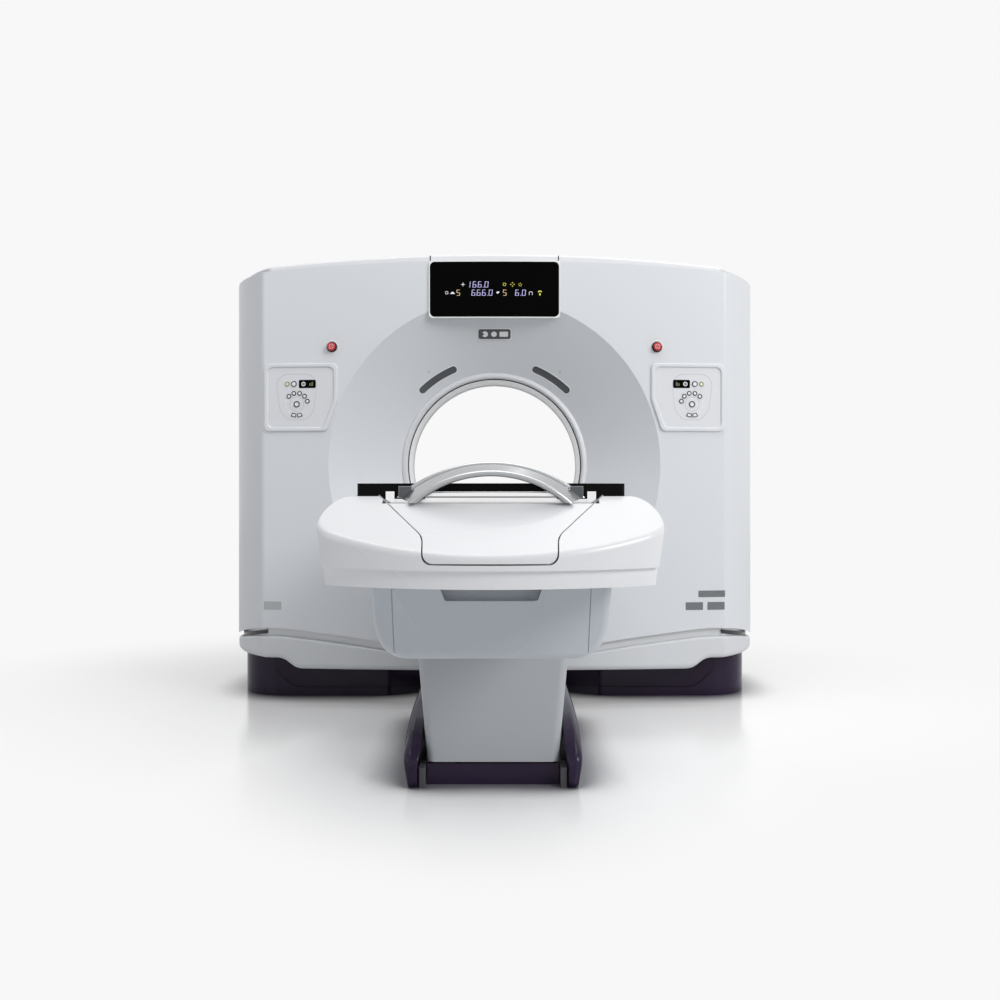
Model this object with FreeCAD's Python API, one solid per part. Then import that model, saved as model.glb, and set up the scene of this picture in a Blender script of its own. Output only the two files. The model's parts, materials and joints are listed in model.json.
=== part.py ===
"""CT scanner: a floor-standing gantry with a dished front, and a patient table on a lifting pedestal.

Frame: millimetres, +Z up, origin on the floor under the isocentre, in the middle of the gantry's
four floor bolts. The patient table stands on the -Y side, +X is to the right seen from the table.
"""
import FreeCAD, Part
import math
import os

V = FreeCAD.Vector

# ---- gantry: bore, dish and outline ----
ISO_Z = 1015.0            # height of the bore axis
BORE_R = 377.0            # clear radius of the patient bore
LIP_R = 402.0             # outer radius of the ring that frames the bore
FLARE_Y = 45.0            # from here the bore widens towards the rear
REAR_BORE_R = 425.0
REAR_LIP_R = 450.0
DISH_R = 702.0            # rim of the dish in the front cover
DISH_RING_Y = -335.0      # depth at which the dish ends
REAR_DISH_R = 620.0
REAR_RING_Y = 500.0
FRONT_Y = -500.0          # foremost line of the front cover
REAR_Y = 640.0            # rearmost line of the rear cover
FACE_R = 7500.0           # plan radius of the gently bowed front and rear faces
HALF_W = 1165.0
CREASE_X = 985.0          # where the face breaks into the rounded flank
FLANK_R = 504.0           # plan radius of the flank
CREASE_R = 40.0           # rounding of the crease
SHOULDER_R = 12.0         # rounding of the side's upper edge
SIDE_FRONT_Y = -50.0      # the straight part of the side
SIDE_REAR_Y = 190.0
FLOOR_HALF_W = 1157.0     # half width at the lower edge and at the shoulder: the sides bow
SHOULDER_HALF_W = 1150.0
BOW_Z = 650.0
SHOULDER_Z = 1860.0
BODY_TOP_Z = 1873.0       # upper edge of the face on the centre line
BODY_TOP_R = 13000.0
LID_TOP_Z = 1902.0
LID_TOP_R = 11000.0
LID_HALF_W = 1132.0
LID_INSET = 10.0          # the lids stand back from the faces, and further from the flanks
LID_END_INSET = 22.0
LID_SEAM_X = 270.0
LID_LIP = 3.0             # how far the lids reach down inside the body covers
WALL = 8.0                # moulded covers
SEAM = 2.0                # open joint between neighbouring covers
FRONT_SPLIT_Y = -20.0
REAR_SPLIT_Y = 215.0
LOWER_SPLIT_Y = 95.0
# lower edge of the body, as half width and height, and the parallel lip of the lower cover
EDGE_CURVE = [(0, 225), (250, 236), (476, 269), (800, 311), (975, 321), (FLOOR_HALF_W, 262)]
REVEAL = 35.0
BUMPER = 30.0             # depth of the section of the lower cover
SKIRT_HIGH_Z = 192.0      # underside of the lower cover, outboard and inboard
SKIRT_LOW_Z = 147.0
SKIRT_STEP_OUT_X = 930.0
SKIRT_STEP_IN_X = 813.0
SHOE_FRONT_Y = -264.0
SHOE_REAR_Y = 404.0
SHOE_IN_X = 300.0
SHOE_BEND_X = 466.0       # from here inward the shoe's ends draw back
SHOE_DRAW = 106.0
SHOE_OUT_X = 1132.0
SHOE_TOP_Z = 215.0
SHOE_RECESS = 16.0
SHOE_WALL = 24.0
SHOE_CURVE_OUT = (1012.0, 122.0)    # x, z where the recess starts, and where its edge runs level
SHOE_CURVE_IN = (850.0, 37.0)
VENT_X = 560.0            # upright slots in the rear cover
VENT_PITCH = 36.0
VENTS = 9
VENT_LOW_Z = 370.0
VENT_HIGH_Z = 520.0
LOUVRE_Z = 420.0          # level slots in the side covers
LOUVRE_PITCH = 34.0
LOUVRES = 10
LOUVRE_NEAR_Y = 20.0
LOUVRE_FAR_Y = 170.0
SLOT_W = 12.0             # width of a vent or louvre slot
ANCHOR_X = 900.0          # gantry floor bolts
ANCHOR_Y = 190.0
ANCHOR_HOLE_R = 11.0

# ---- what the front cover carries ----
CUT_NEAR_Y = -700.0       # prisms that cut or make the front's fittings run between these depths
CUT_FAR_Y = -300.0
DISPLAY_HALF_W = 271.5
DISPLAY_LOW_Z = 1635.0
DISPLAY_HIGH_Z = 1867.0
DISPLAY_PROUD = 6.0
DISPLAY_DEPTH = 62.0
DISPLAY_CORNER_R = 24.0
BEZEL = 7.0
GLASS_T = 4.0
GLASS_SINK = 0.5          # the glass lies this far below the bezel
PILL_Z = 1575.0
PILL_W = 137.0
PILL_H = 44.0
PILL_CORNER_R = 16.0
PILL_PROUD = 4.0
PILL_BACK = 9.0
ARC_LIGHT_R = 449.5
ARC_LIGHT_W = 29.0
ARC_LIGHT_FROM = 46.2     # degrees from +X, right-hand light; the left one mirrors it
ARC_LIGHT_TO = 66.8
LENS_SINK = 2.5
LENS_BACK = 14.0
ESTOP_X = 687.0
ESTOP_Z = 1513.0
ESTOP_HEAD_R = 17.5
ESTOP_STEM_R = 10.0
ESTOP_FLANGE_R = 22.0
ESTOP_BARREL_R = 17.0
ESTOP_FLANGE_T = 4.0
ESTOP_BARREL_DEPTH = 24.0
ESTOP_HEAD_T = 11.0
ESTOP_TRAVEL = 5.0
PANEL_IN_X = 662.0        # the right-hand panel: its inner lower corner is cut away
PANEL_OUT_X = 980.0
PANEL_LOW_Z = 1157.0
PANEL_TOP_Z = 1445.0
PANEL_CUT_X = 707.0
PANEL_CUT_Z = 1291.0
PANEL_CORNER_R = 24.0
PANEL_CUT_R = 40.0
PANEL_PROUD = 3.0         # the keypad field; its rim stands higher
PANEL_RIM_PROUD = 9.0
PANEL_RIM_W = 17.0
DIAL_X = 838.0            # centre of the key dial on the right-hand panel
DIAL_Z = 1272.0
DIAL_R = 47.6
PRESET_DEG = (45, 75, 105, 135, 165)
ARROW_DEG = (255, 285)
ARROW_HALF_DEG = 13.0
ARROW_HALF_W = 9.0
DOME_RISE = 1.5           # embossed keys over the field
SCREEN = (756.0, 1340.0, 829.0, 1375.0)    # x0, z0, x1, z1
SCREEN_T = 2.5
SMALL_KEY_R = 9.5
CENTRE_KEY_R = 13.5
LAMP_KEY = (879.0, 1358.0, 10.0)    # x, z, radius
LOCK_KEY = (850.0, 1358.0, 12.5)
KEY_GAP = 0.4
KEY_RISE = 3.0            # a travelling key over the field
KEY_DEPTH = 4.5
KEY_POCKET = 6.5

# ---- rotor ----
ROTOR_R = 815.0
ROTOR_IN_R = 425.0
WINDOW_HALF_W = 45.0      # strip in the bore liner that the beam passes
WINDOW_T = 3.0
WINDOW_ANGLES = 8         # openings between the spokes of the rotor plate
WINDOW_SPAN_DEG = 27.0
WINDOW_IN_R = 560.0
WINDOW_OUT_R = 740.0
RIM_T = 18.0
RIM_DEPTH = 70.0
PLATE_Y = 112.0           # front face of the rotor plate; the scan plane is Y = 0
PLATE_T = 28.0
BEARING_R = 470.0         # running diameter of the main bearing
BEARING_GAP = 0.5
BEARING_OUT_R = 532.0
STAND_Y = 158.0
STAND_T = 40.0
STAND_OUTLINE = [(-820, 120, 0), (820, 120, 0), (820, 500, 80), (560, 1480, 120), (-560, 1480, 120),
                 (-820, 500, 80)]
FLOOR_PLATE_IN_X = 560.0
FLOOR_PLATE_OUT_X = 990.0
FLOOR_PLATE_NEAR_Y = -222.0
FLOOR_PLATE_FAR_Y = 340.0
RAIL_IN_X = 700.0         # the box rail on each floor plate
RAIL_OUT_X = 840.0
RAIL_TOP_Z = 125.0
BEAM_NEAR_Y = 120.0       # cross beam of the base
BEAM_HEAD_Y = 240.0
BEAM_LOW_Z = 25.0
FOCUS_R = 590.0           # X-ray focus above the isocentre
DETECTOR_DIST = 1050.0    # focus to detector face
DETECTOR_HALF_DEG = 28.0
DETECTOR_HALF_W = 90.0
DETECTOR_T = 70.0
SLIP_RING_R = 610.0
SLIP_RING_T = 24.0
TRACK_R = 490.0           # innermost contact track
TRACK_PITCH = 25.0
TRACKS = 5
TRACK_W = 8.0
TUBE_R = 125.0
TUBE_NEAR_Y = -225.0
TUBE_ABOVE_FOCUS = 50.0
PORT_HALF_W = 60.0
COLLIMATOR_IN_R = 440.0   # the collimator's span along the beam
COLLIMATOR_OUT_R = 508.0
PACK_IN_R = 450.0         # the generator and the cooler fill a sector each
PACK_OUT_R = 780.0
COOLER_FIN_R = 740.0
COOLER_FINS = 8
COOLER_PITCH = 24.0

# ---- table ----
TABLE_NEAR_Y = -2970.0
TABLE_HEAD_Y = -560.0
CREST_Y = -2710.0
CREST_Z = 909.0
NOSE_Z = 793.0            # top edge of the nose on the centre line
SKIRT_Z = 728.0           # underside of the table top
SKIRT_LINE_Z = 765.0
SKIRT_INSET = 10.0
INSERT_OUTLINE = [(131, 779, 20), (136, 829, 30), (245, 912, 0), (245, 1100, 0)]    # right half, front view
TOP_HALF_W = 371.0
TOP_FOOT_HALF_W = 340.0   # half width at the underside: the sides lean in
TOP_CORNER_R = 58.0
NOSE_R = 640.0            # plan radius of the nose
NOSE_DEG = 27.0           # half angle of the nose arc
CHANNEL_NEAR_Y = -2746.0
END_COVER_BACK_Y = -2450.0
HEAD_COVER_Y = -860.0
DECK_Z = 880.0            # floor of the cradle channel
BEARER_Z = 899.0          # strips that the cradle slides on
CHANNEL_HALF_W = 235.0
BEARER_HALF_W = 305.0
BOARD_HALF_W = 295.0
BOARD_LOW_Z = 903.0
BOARD_TOP_Z = 937.0
BOARD_NEAR_Y = -2700.0
BOARD_HEAD_Y = -565.0
BOARD_HEAD_HALF_W = 215.0
BOARD_TAPER_Y = -1300.0   # from here the board draws in towards its head
BOARD_HOLLOW_R = 900.0
BOARD_HOLLOW_DEPTH = 14.0
BOARD_HOLLOW_NEAR_Y = -1800.0
UNDER_Z = 884.0           # underside of what hangs below the board
END_BAR_HALF_W = 145.0
END_BAR_LOW_Z = 906.0
END_BAR_TOP_Z = 919.5
HANDLE_BACK_Y = -2706.0   # the bow handle: two tubes joined by a web, leaning back
HANDLE_BACK_HALF_W = 200.5
HANDLE_BACK_FOOT_Z = 906.0
HANDLE_BACK_PEAK_Z = 979.5
HANDLE_BACK_R = 5.5
HANDLE_FRONT_Y = -2757.0
HANDLE_FRONT_HALF_W = 169.0
HANDLE_FRONT_FOOT_Z = 894.8
HANDLE_FRONT_PEAK_Z = 959.0
HANDLE_FRONT_R = 6.5
HANDLE_WEB_T = 4.0
FRAME_NEAR_Y = -2660.0
FRAME_HEAD_Y = -580.0
FRAME_LOW_Z = 862.0
HOUSING_NEAR_Y = -2610.0
HOUSING_HEAD_Y = -640.0
HOUSING_LOW_Z = 535.0
HOUSING_TOP_HALF_W = 280.0
HOUSING_BEND = (268.0, 610.0)
HOUSING_LOW_HALF_W = 246.0
HOUSING_WALL = 7.0
GRIP_TOP_HALF_W = 120.0   # the recess in the housing's front
GRIP_LOW_HALF_W = 106.0
GRIP_TOP_Z = 706.0
GRIP_LOW_Z = 668.0
GRIP_DEPTH = 38.0
GRIP_WALL = 8.0
PEDESTAL_NEAR_Y = -1704.0
PEDESTAL_HEAD_Y = -800.0
PEDESTAL_TOP_Z = 585.0
PEDESTAL_FOOT_Z = 72.0
PEDESTAL_FOOT_HALF_W = 205.0
PEDESTAL_HALF_W = 234.0
PEDESTAL_WIDE_Z = 390.0
PEDESTAL_CORNER_R = 26.0
PEDESTAL_WALL = 6.0
KICK_HALF_W = 205.0       # kick plate under the pedestal's front edge
KICK_TOP_Z = 66.0
LUG_OUT_X = 229.0         # feet of the floor plate that the fins screw to
LUG_NEAR_Y = -1737.0
LUG_FAR_Y = -1644.0
LUG_TOP_Z = 62.0
FIN_NEAR_Y = -1750.0
FIN_HEAD_Y = -700.0
FIN_TOP_Z = 190.0
FIN_SECTION = [(232, 0, 0), (264, 0, 12), (279, 92, 60), (275, FIN_TOP_Z, 0), (224, FIN_TOP_Z, 0),
               (222, 130, 20), (232, 66, 10)]
FIN_EDGE_R = 24.0         # rounding of the outer upper edge
FIN_INNER_R = 6.0
FIN_NOSE_Z = 75.0
FIN_SWEEP = 480.0
FIN_HEAD_R = 90.0
COLUMN_Y = -1250.0
COLUMN_SIZES = [(260.0, 300.0, 10.0), (232.0, 272.0, 8.0), (208.0, 248.0, 8.0)]
COLUMN_SPANS = [(20.0, 500.0), (190.0, 660.0), (360.0, FRAME_LOW_Z)]
LIFT_CYLINDER_R = 45.0
LIFT_ROD_R = 20.0
DUCT_HALF_W = 110.0
DUCT_TOP_HALF_W = 96.0
DUCT_TOP_Z = 34.0
TABLE_ANCHOR_X = 150.0
TABLE_ANCHOR_NEAR_Y = -1620.0
TABLE_ANCHOR_HEAD_Y = -880.0

LEFT_RIGHT = {"left": -1, "right": 1}
FAR = 4000.0


# ---------------------------------------------------------------- small shape tools
def round_outline(corners, place):
    """A closed wire through corners of (u, v, radius), drawn on the plane that place(u, v) gives."""
    edges = []
    starts = []
    for i, (u, v, r) in enumerate(corners):
        here = V(u, v, 0)
        before = (V(corners[i - 1][0], corners[i - 1][1], 0) - here).normalize()
        after = (V(corners[(i + 1) % len(corners)][0], corners[(i + 1) % len(corners)][1], 0) - here)
        after.normalize()
        half = before.getAngle(after) / 2
        reach = r / math.tan(half)
        middle = here + (before + after).normalize() * (r / math.sin(half) - r) if r else here
        starts.append((here + before * reach, middle, here + after * reach))
    for i, (enter, middle, leave) in enumerate(starts):
        if corners[i][2]:
            edges.append(Part.Arc(place(*enter[:2]), place(*middle[:2]), place(*leave[:2])).toShape())
        following = starts[(i + 1) % len(starts)][0]
        if (following - leave).Length > 1e-6:
            edges.append(Part.LineSegment(place(*leave[:2]), place(*following[:2])).toShape())
    return Part.Wire(edges)


def plan_prism(corners, low, high):
    wire = round_outline(corners, lambda u, v: V(u, v, low))
    return Part.Face(wire).extrude(V(0, 0, high - low))


def front_prism(corners, near, far):
    """An outline drawn in X and Z, carried from near to far along Y."""
    wire = round_outline(corners, lambda u, v: V(u, near, v))
    return Part.Face(wire).extrude(V(0, far - near, 0))


def side_prism(corners, left, right):
    """An outline drawn in Y and Z, carried from left to right along X."""
    wire = round_outline(corners, lambda u, v: V(left, u, v))
    return Part.Face(wire).extrude(V(right - left, 0, 0))


def box(low, high):
    size = V(*high) - V(*low)
    return Part.makeBox(size.x, size.y, size.z, V(*low))


def tube_y(inner, outer, near, far, x=0.0, z=ISO_Z):
    """A ring round the bore axis, or round another line along Y."""
    length = far - near
    body = Part.makeCylinder(outer, length, V(x, near, z), V(0, 1, 0))
    return body.cut(Part.makeCylinder(inner, length, V(x, near, z), V(0, 1, 0)))


def sector_y(inner, outer, start, end, near, far, z=ISO_Z):
    """A sector of a ring round a line along Y, from start to end degrees, counted from +X towards +Z."""
    def at(radius, angle):
        a = math.radians(angle)
        return V(radius * math.cos(a), near, z + radius * math.sin(a))

    middle = (start + end) / 2
    edges = [
        Part.Arc(at(outer, start), at(outer, middle), at(outer, end)).toShape(),
        Part.LineSegment(at(outer, end), at(inner, end)).toShape(),
        Part.Arc(at(inner, end), at(inner, middle), at(inner, start)).toShape(),
        Part.LineSegment(at(inner, start), at(outer, start)).toShape(),
    ]
    return Part.Face(Part.Wire(edges)).extrude(V(0, far - near, 0))


def mirrored(shape):
    return shape.mirror(V(0, 0, 0), V(1, 0, 0))


def sided(shape, side):
    """The right-hand shape, or its mirror image for the left."""
    return shape if side == 1 else mirrored(shape)


def both(shape):
    return Part.makeCompound([shape, mirrored(shape)])


def try_fillet(shape, radius, wanted):
    """Round the wanted edges; a shape that can't take the radius keeps its edges."""
    edges = [e for e in shape.Edges if wanted(e)]
    for r in (radius, radius * 0.6, radius * 0.3):
        try:
            rounded = shape.makeFillet(r, edges)
            if rounded.isValid() and rounded.Volume > 0:
                return rounded
        except Part.OCCError:
            continue
    return shape


# ---------------------------------------------------------------- gantry outline
def circles_meet(c1, r1, c2, r2, toward):
    """Where two circles in plan cross, on the side nearer to the point toward."""
    gap = c2 - c1
    d = gap.Length
    along = (d * d + r1 * r1 - r2 * r2) / (2 * d)
    across = math.sqrt(max(r1 * r1 - along * along, 0))
    unit = gap * (1 / d)
    base = c1 + unit * along
    offset = V(-unit.y, unit.x, 0) * across
    return min((base + offset, base - offset), key=lambda p: (p - toward).Length)


def gantry_plan(inset, low, high):
    """The plan outline of the gantry, drawn in by inset, as a prism."""
    front_c = V(0, FRONT_Y + FACE_R, 0)
    rear_c = V(0, REAR_Y - FACE_R, 0)
    flank_f = V(HALF_W - FLANK_R, SIDE_FRONT_Y, 0)
    flank_r = V(HALF_W - FLANK_R, SIDE_REAR_Y, 0)
    face_r = FACE_R - inset
    flank = FLANK_R - inset
    crease_f = circles_meet(front_c, face_r, flank_f, flank, V(CREASE_X, FRONT_Y, 0))
    crease_r = circles_meet(rear_c, face_r, flank_r, flank, V(CREASE_X, REAR_Y, 0))
    side_x = HALF_W - inset

    def flip(p):
        return V(-p.x, p.y, 0)

    def mid(centre, radius, a, b):
        return centre + ((a + b) * 0.5 - centre).normalize() * radius

    side_f = V(side_x, SIDE_FRONT_Y, 0)
    side_r = V(side_x, SIDE_REAR_Y, 0)
    right_f = Part.Arc(crease_f, mid(flank_f, flank, crease_f, side_f), side_f).toShape()
    right_r = Part.Arc(side_r, mid(flank_r, flank, crease_r, side_r), crease_r).toShape()
    edges = [
        Part.Arc(flip(crease_f), V(0, FRONT_Y + inset, 0), crease_f).toShape(),
        right_f,
        Part.LineSegment(side_f, side_r).toShape(),
        right_r,
        Part.Arc(crease_r, V(0, REAR_Y - inset, 0), flip(crease_r)).toShape(),
        mirrored(right_r),
        Part.LineSegment(flip(side_r), flip(side_f)).toShape(),
        mirrored(right_f),
    ]
    wire = Part.Wire(Part.__sortEdges__(edges))
    wire.translate(V(0, 0, low))
    prism = Part.Face(wire).extrude(V(0, 0, high - low))
    return try_fillet(prism, CREASE_R, is_crease)


def is_crease(edge):
    box_ = edge.BoundBox
    return box_.XLength + box_.YLength < 1 and CREASE_X - 60 < abs(box_.XMin) < CREASE_X + 60


def edge_spline(drop, inset, y):
    """The sweeping lower edge of the body from left to right, lowered by drop."""
    half = [(x, z - drop) for x, z in EDGE_CURVE]
    half[-1] = (half[-1][0] - inset, half[-1][1] + drop * 0.5)
    points = [V(-x, y, z) for x, z in reversed(half[1:])] + [V(x, y, z) for x, z in half]
    curve = Part.BSplineCurve()
    curve.interpolate(points)
    return curve.toShape()


def arch(top_z, radius, half_w, y):
    """An upper edge that falls away from the centre line on a large radius."""
    end_z = top_z - half_w * half_w / (2 * radius)
    return Part.Arc(V(half_w, y, end_z), V(0, y, top_z), V(-half_w, y, end_z)).toShape()


def closed_elevation(lower, upper, inset):
    """A slab, seen from the front, between a lower and an upper edge and the two bowed sides."""
    near = -FAR / 4
    a = max((v.Point for v in lower.Vertexes), key=lambda p: p.x)
    b = max((v.Point for v in upper.Vertexes), key=lambda p: p.x)
    right = Part.Arc(a, V(HALF_W - inset, near, BOW_Z), b).toShape()
    edges = [lower, right, upper, mirrored(right)]
    wire = Part.Wire(Part.__sortEdges__(edges))
    return Part.Face(wire).extrude(V(0, FAR / 2, 0))


def body_form(inset, lower_drop, top_rise):
    """The upper body of the gantry, drawn in by inset, between its sweeping edge and its arched top."""
    near = -FAR / 4
    lower = edge_spline(0, inset, near)
    lower.translate(V(0, 0, -lower_drop))
    upper = arch(BODY_TOP_Z + top_rise, BODY_TOP_R, SHOULDER_HALF_W - inset, near)
    slab = closed_elevation(lower, upper, inset)
    form = slab.common(gantry_plan(inset, 0, FAR / 2))
    if not inset:
        form = try_fillet(form, SHOULDER_R, is_shoulder_edge)
    return form


def is_shoulder_edge(edge):
    box_ = edge.BoundBox
    return box_.ZMin > SHOULDER_Z - 120 and box_.XLength < 1 and box_.YLength > 150


def front_y(x):
    """Depth of the bowed front face at a distance from the centre line."""
    return FRONT_Y + FACE_R - math.sqrt(FACE_R ** 2 - x * x)


def ring_wire(points):
    curve = Part.BSplineCurve()
    n = len(points)
    curve.interpolate(Points=points, PeriodicFlag=True, Parameters=[i / n for i in range(n + 1)])
    return Part.Wire([curve.toShape()])


def dish_air(rim_r, lip_r, ring_y, facing, steps=24):
    """The space in front of a dish: rulings run from a circle round the bore out to a rim that lies on
    the bowed face, so that the rim is a true circle seen from the front. facing is -1 front, 1 rear."""
    inner = []
    outer = []
    far = []
    for i in range(steps):
        a = 2 * math.pi * i / steps
        c = math.cos(a)
        s = math.sin(a)
        rim_y = front_y(rim_r * c) if facing < 0 else REAR_Y + FRONT_Y - front_y(rim_r * c)
        start = V((lip_r - 4) * c, ring_y, ISO_Z + (lip_r - 4) * s)
        rim = V(rim_r * c, rim_y, ISO_Z + rim_r * s)
        over = start + (rim - start) * 1.2
        inner.append(start)
        outer.append(over)
        far.append(V(over.x, facing * 1000.0, over.z))
    wires = [ring_wire(inner), ring_wire(outer), ring_wire(far)]
    return Part.makeLoft(wires, True, True)


def shell_of(outer, inner, near, far):
    """A cover: outer less inner, kept between two planes across Y."""
    slab = box((-FAR / 2, near, -100), (FAR / 2, far, FAR / 2))
    return outer.cut(inner).common(slab)


def face_plate(corners, proud, depth):
    """A plate with the given outline seen from the front, bowed like the front face."""
    prism = front_prism(corners, CUT_NEAR_Y, CUT_FAR_Y)
    axis = V(0, FRONT_Y + FACE_R, 0)
    outside = Part.makeCylinder(FACE_R + proud, FAR / 2, axis)
    inside = Part.makeCylinder(FACE_R - depth, FAR / 2, axis)
    return prism.common(outside).cut(inside)


def face_normal(x):
    """The outward direction of the front face at x."""
    return V(x, -math.sqrt(FACE_R ** 2 - x * x), 0).normalize()


def face_cylinder(x, z, radius, proud, depth):
    """A round plug square to the front face, from depth below it to proud above it."""
    n = face_normal(x)
    foot = V(x, front_y(x), z) - n * depth
    return Part.makeCylinder(radius, proud + depth, foot, n)


# ---------------------------------------------------------------- what sits in the front cover
def rounded_rect(x0, z0, x1, z1, r):
    return [(x0, z0, r), (x1, z0, r), (x1, z1, r), (x0, z1, r)]


def display_block():
    corners = rounded_rect(-DISPLAY_HALF_W, DISPLAY_LOW_Z, DISPLAY_HALF_W, DISPLAY_HIGH_Z,
                           DISPLAY_CORNER_R)
    return face_plate(corners, DISPLAY_PROUD, DISPLAY_DEPTH)


def display_glass(proud):
    corners = rounded_rect(-DISPLAY_HALF_W + BEZEL, DISPLAY_LOW_Z + BEZEL,
                           DISPLAY_HALF_W - BEZEL, DISPLAY_HIGH_Z - BEZEL, DISPLAY_CORNER_R - BEZEL)
    return face_plate(corners, proud, GLASS_T - DISPLAY_PROUD + GLASS_SINK)


def indicator_panel():
    """A pill-shaped lamp strip, square to the slope of the dish above the bore."""
    share = (PILL_Z - ISO_Z - LIP_R + 4) / (DISH_R - LIP_R + 4)
    y = DISH_RING_Y + share * (FRONT_Y - DISH_RING_Y)
    slope = math.degrees(math.atan2(DISH_RING_Y - FRONT_Y, DISH_R - LIP_R + 4))
    corners = rounded_rect(-PILL_W / 2, -PILL_H / 2, PILL_W / 2, PILL_H / 2, PILL_CORNER_R)
    plate = front_prism(corners, -PILL_PROUD, PILL_BACK)
    plate.rotate(V(0, 0, 0), V(1, 0, 0), slope)
    plate.translate(V(0, y, PILL_Z))
    return plate


def arc_slot(margin):
    """The rounded slot of the right-hand arc light, as a prism along Y."""
    inner = ARC_LIGHT_R - ARC_LIGHT_W / 2 - margin
    outer = ARC_LIGHT_R + ARC_LIGHT_W / 2 + margin
    bar = sector_y(inner, outer, ARC_LIGHT_FROM, ARC_LIGHT_TO, CUT_NEAR_Y, CUT_FAR_Y)
    for angle in (ARC_LIGHT_FROM, ARC_LIGHT_TO):
        a = math.radians(angle)
        centre = V(ARC_LIGHT_R * math.cos(a), CUT_NEAR_Y, ISO_Z + ARC_LIGHT_R * math.sin(a))
        bar = bar.fuse(Part.makeCylinder((outer - inner) / 2, CUT_FAR_Y - CUT_NEAR_Y, centre, V(0, 1, 0)))
    return bar.removeSplitter()


def arc_light(air):
    """The dark lens in an arc slot, set back a little from the dish."""
    back = air.copy()
    back.translate(V(0, LENS_BACK, 0))
    front = air.copy()
    front.translate(V(0, LENS_SINK, 0))
    return arc_slot(0).common(back).cut(front)


def panel_corners(margin):
    """The right-hand control panel: a rounded box with its inner lower corner cut away."""
    low = PANEL_LOW_Z - margin
    top = PANEL_TOP_Z + margin
    out = PANEL_OUT_X + margin
    r = PANEL_CORNER_R
    return [
        (PANEL_CUT_X - margin, low, r), (out, low, r), (out, top, r),
        (PANEL_IN_X - margin, top, r), (PANEL_IN_X - margin, PANEL_CUT_Z, PANEL_CUT_R),
    ]


def key_places():
    """Each travelling key of the right-hand panel: name, x, z, radius."""
    return [
        ("centre_key", DIAL_X, DIAL_Z, CENTRE_KEY_R),
        ("lamp_key", *LAMP_KEY),
        ("lock_key", *LOCK_KEY),
    ]


def control_panel():
    """The panel: a raised rim round a lower field, with blind pockets for keys and screen."""
    panel = face_plate(panel_corners(0), PANEL_RIM_PROUD, WALL)
    field = face_plate(panel_corners(-PANEL_RIM_W), FAR / 20, -PANEL_PROUD)
    panel = try_fillet(panel.cut(field), 5, is_rim_top)
    for name, x, z, r in key_places():
        panel = panel.cut(face_cylinder(x, z, r + KEY_GAP, 20, KEY_POCKET))
    return panel.cut(screen_plate())


def is_rim_top(edge):
    """An edge on the crown of the panel's rim."""
    for v in edge.Vertexes:
        radial = V(v.Point.x, v.Point.y - FRONT_Y - FACE_R, 0).Length
        if abs(radial - FACE_R - PANEL_RIM_PROUD) > 0.1:
            return False
    return True


def panel_with_domes():
    """The five preset keys and two wedge keys are embossed in the panel's sealed face."""
    panel = control_panel()
    for angle in PRESET_DEG:
        a = math.radians(angle)
        x = DIAL_X + DIAL_R * math.cos(a)
        z = DIAL_Z + DIAL_R * math.sin(a)
        panel = panel.fuse(face_cylinder(x, z, SMALL_KEY_R, PANEL_PROUD + DOME_RISE, 2))
    for angle in ARROW_DEG:
        panel = panel.fuse(wedge_key(angle))
    return panel


def wedge_key(angle):
    wedge = sector_y(DIAL_R - ARROW_HALF_W, DIAL_R + ARROW_HALF_W, angle - ARROW_HALF_DEG,
                     angle + ARROW_HALF_DEG, CUT_NEAR_Y, CUT_FAR_Y, DIAL_Z)
    wedge.translate(V(DIAL_X, 0, 0))
    axis = V(0, FRONT_Y + FACE_R, 0)
    outside = Part.makeCylinder(FACE_R + PANEL_PROUD + DOME_RISE, FAR / 2, axis)
    inside = Part.makeCylinder(FACE_R - 2, FAR / 2, axis)
    return wedge.common(outside).cut(inside)


def screen_plate():
    return face_plate(rounded_rect(*SCREEN, 6), PANEL_PROUD + 0.5, -PANEL_PROUD + SCREEN_T)


def key_cap(x, z, r):
    """A round key with a shallow finger dish."""
    n = face_normal(x)
    cap = face_cylinder(x, z, r, PANEL_PROUD + KEY_RISE, KEY_DEPTH)
    dish = Part.makeSphere(r * 3, V(x, front_y(x), z) + n * (PANEL_PROUD + KEY_RISE - 1 + r * 3))
    return cap.cut(dish)


def estop_collar(x, z):
    """A turned collar with a flange outside the cover and a barrel through it."""
    barrel = face_cylinder(x, z, ESTOP_BARREL_R, 3, ESTOP_BARREL_DEPTH)
    collar = barrel.fuse(face_cylinder(x, z, ESTOP_FLANGE_R, ESTOP_FLANGE_T, 0))
    return collar.cut(face_cylinder(x, z, ESTOP_STEM_R + 0.5, 20, 20))


def estop_button(x, z):
    """A mushroom head on a stem."""
    n = face_normal(x)
    base = V(x, front_y(x), z)
    lift = ESTOP_FLANGE_T + ESTOP_TRAVEL + 1
    head = Part.makeCylinder(ESTOP_HEAD_R, ESTOP_HEAD_T, base + n * lift, n)
    head = try_fillet(head, 5, lambda e: len(e.Vertexes) == 1 and
                      (e.CenterOfMass - base).dot(n) > lift + ESTOP_HEAD_T / 2)
    stem = Part.makeCylinder(ESTOP_STEM_R, 20, base - n * 8, n)
    return head.fuse(stem).removeSplitter()


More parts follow.
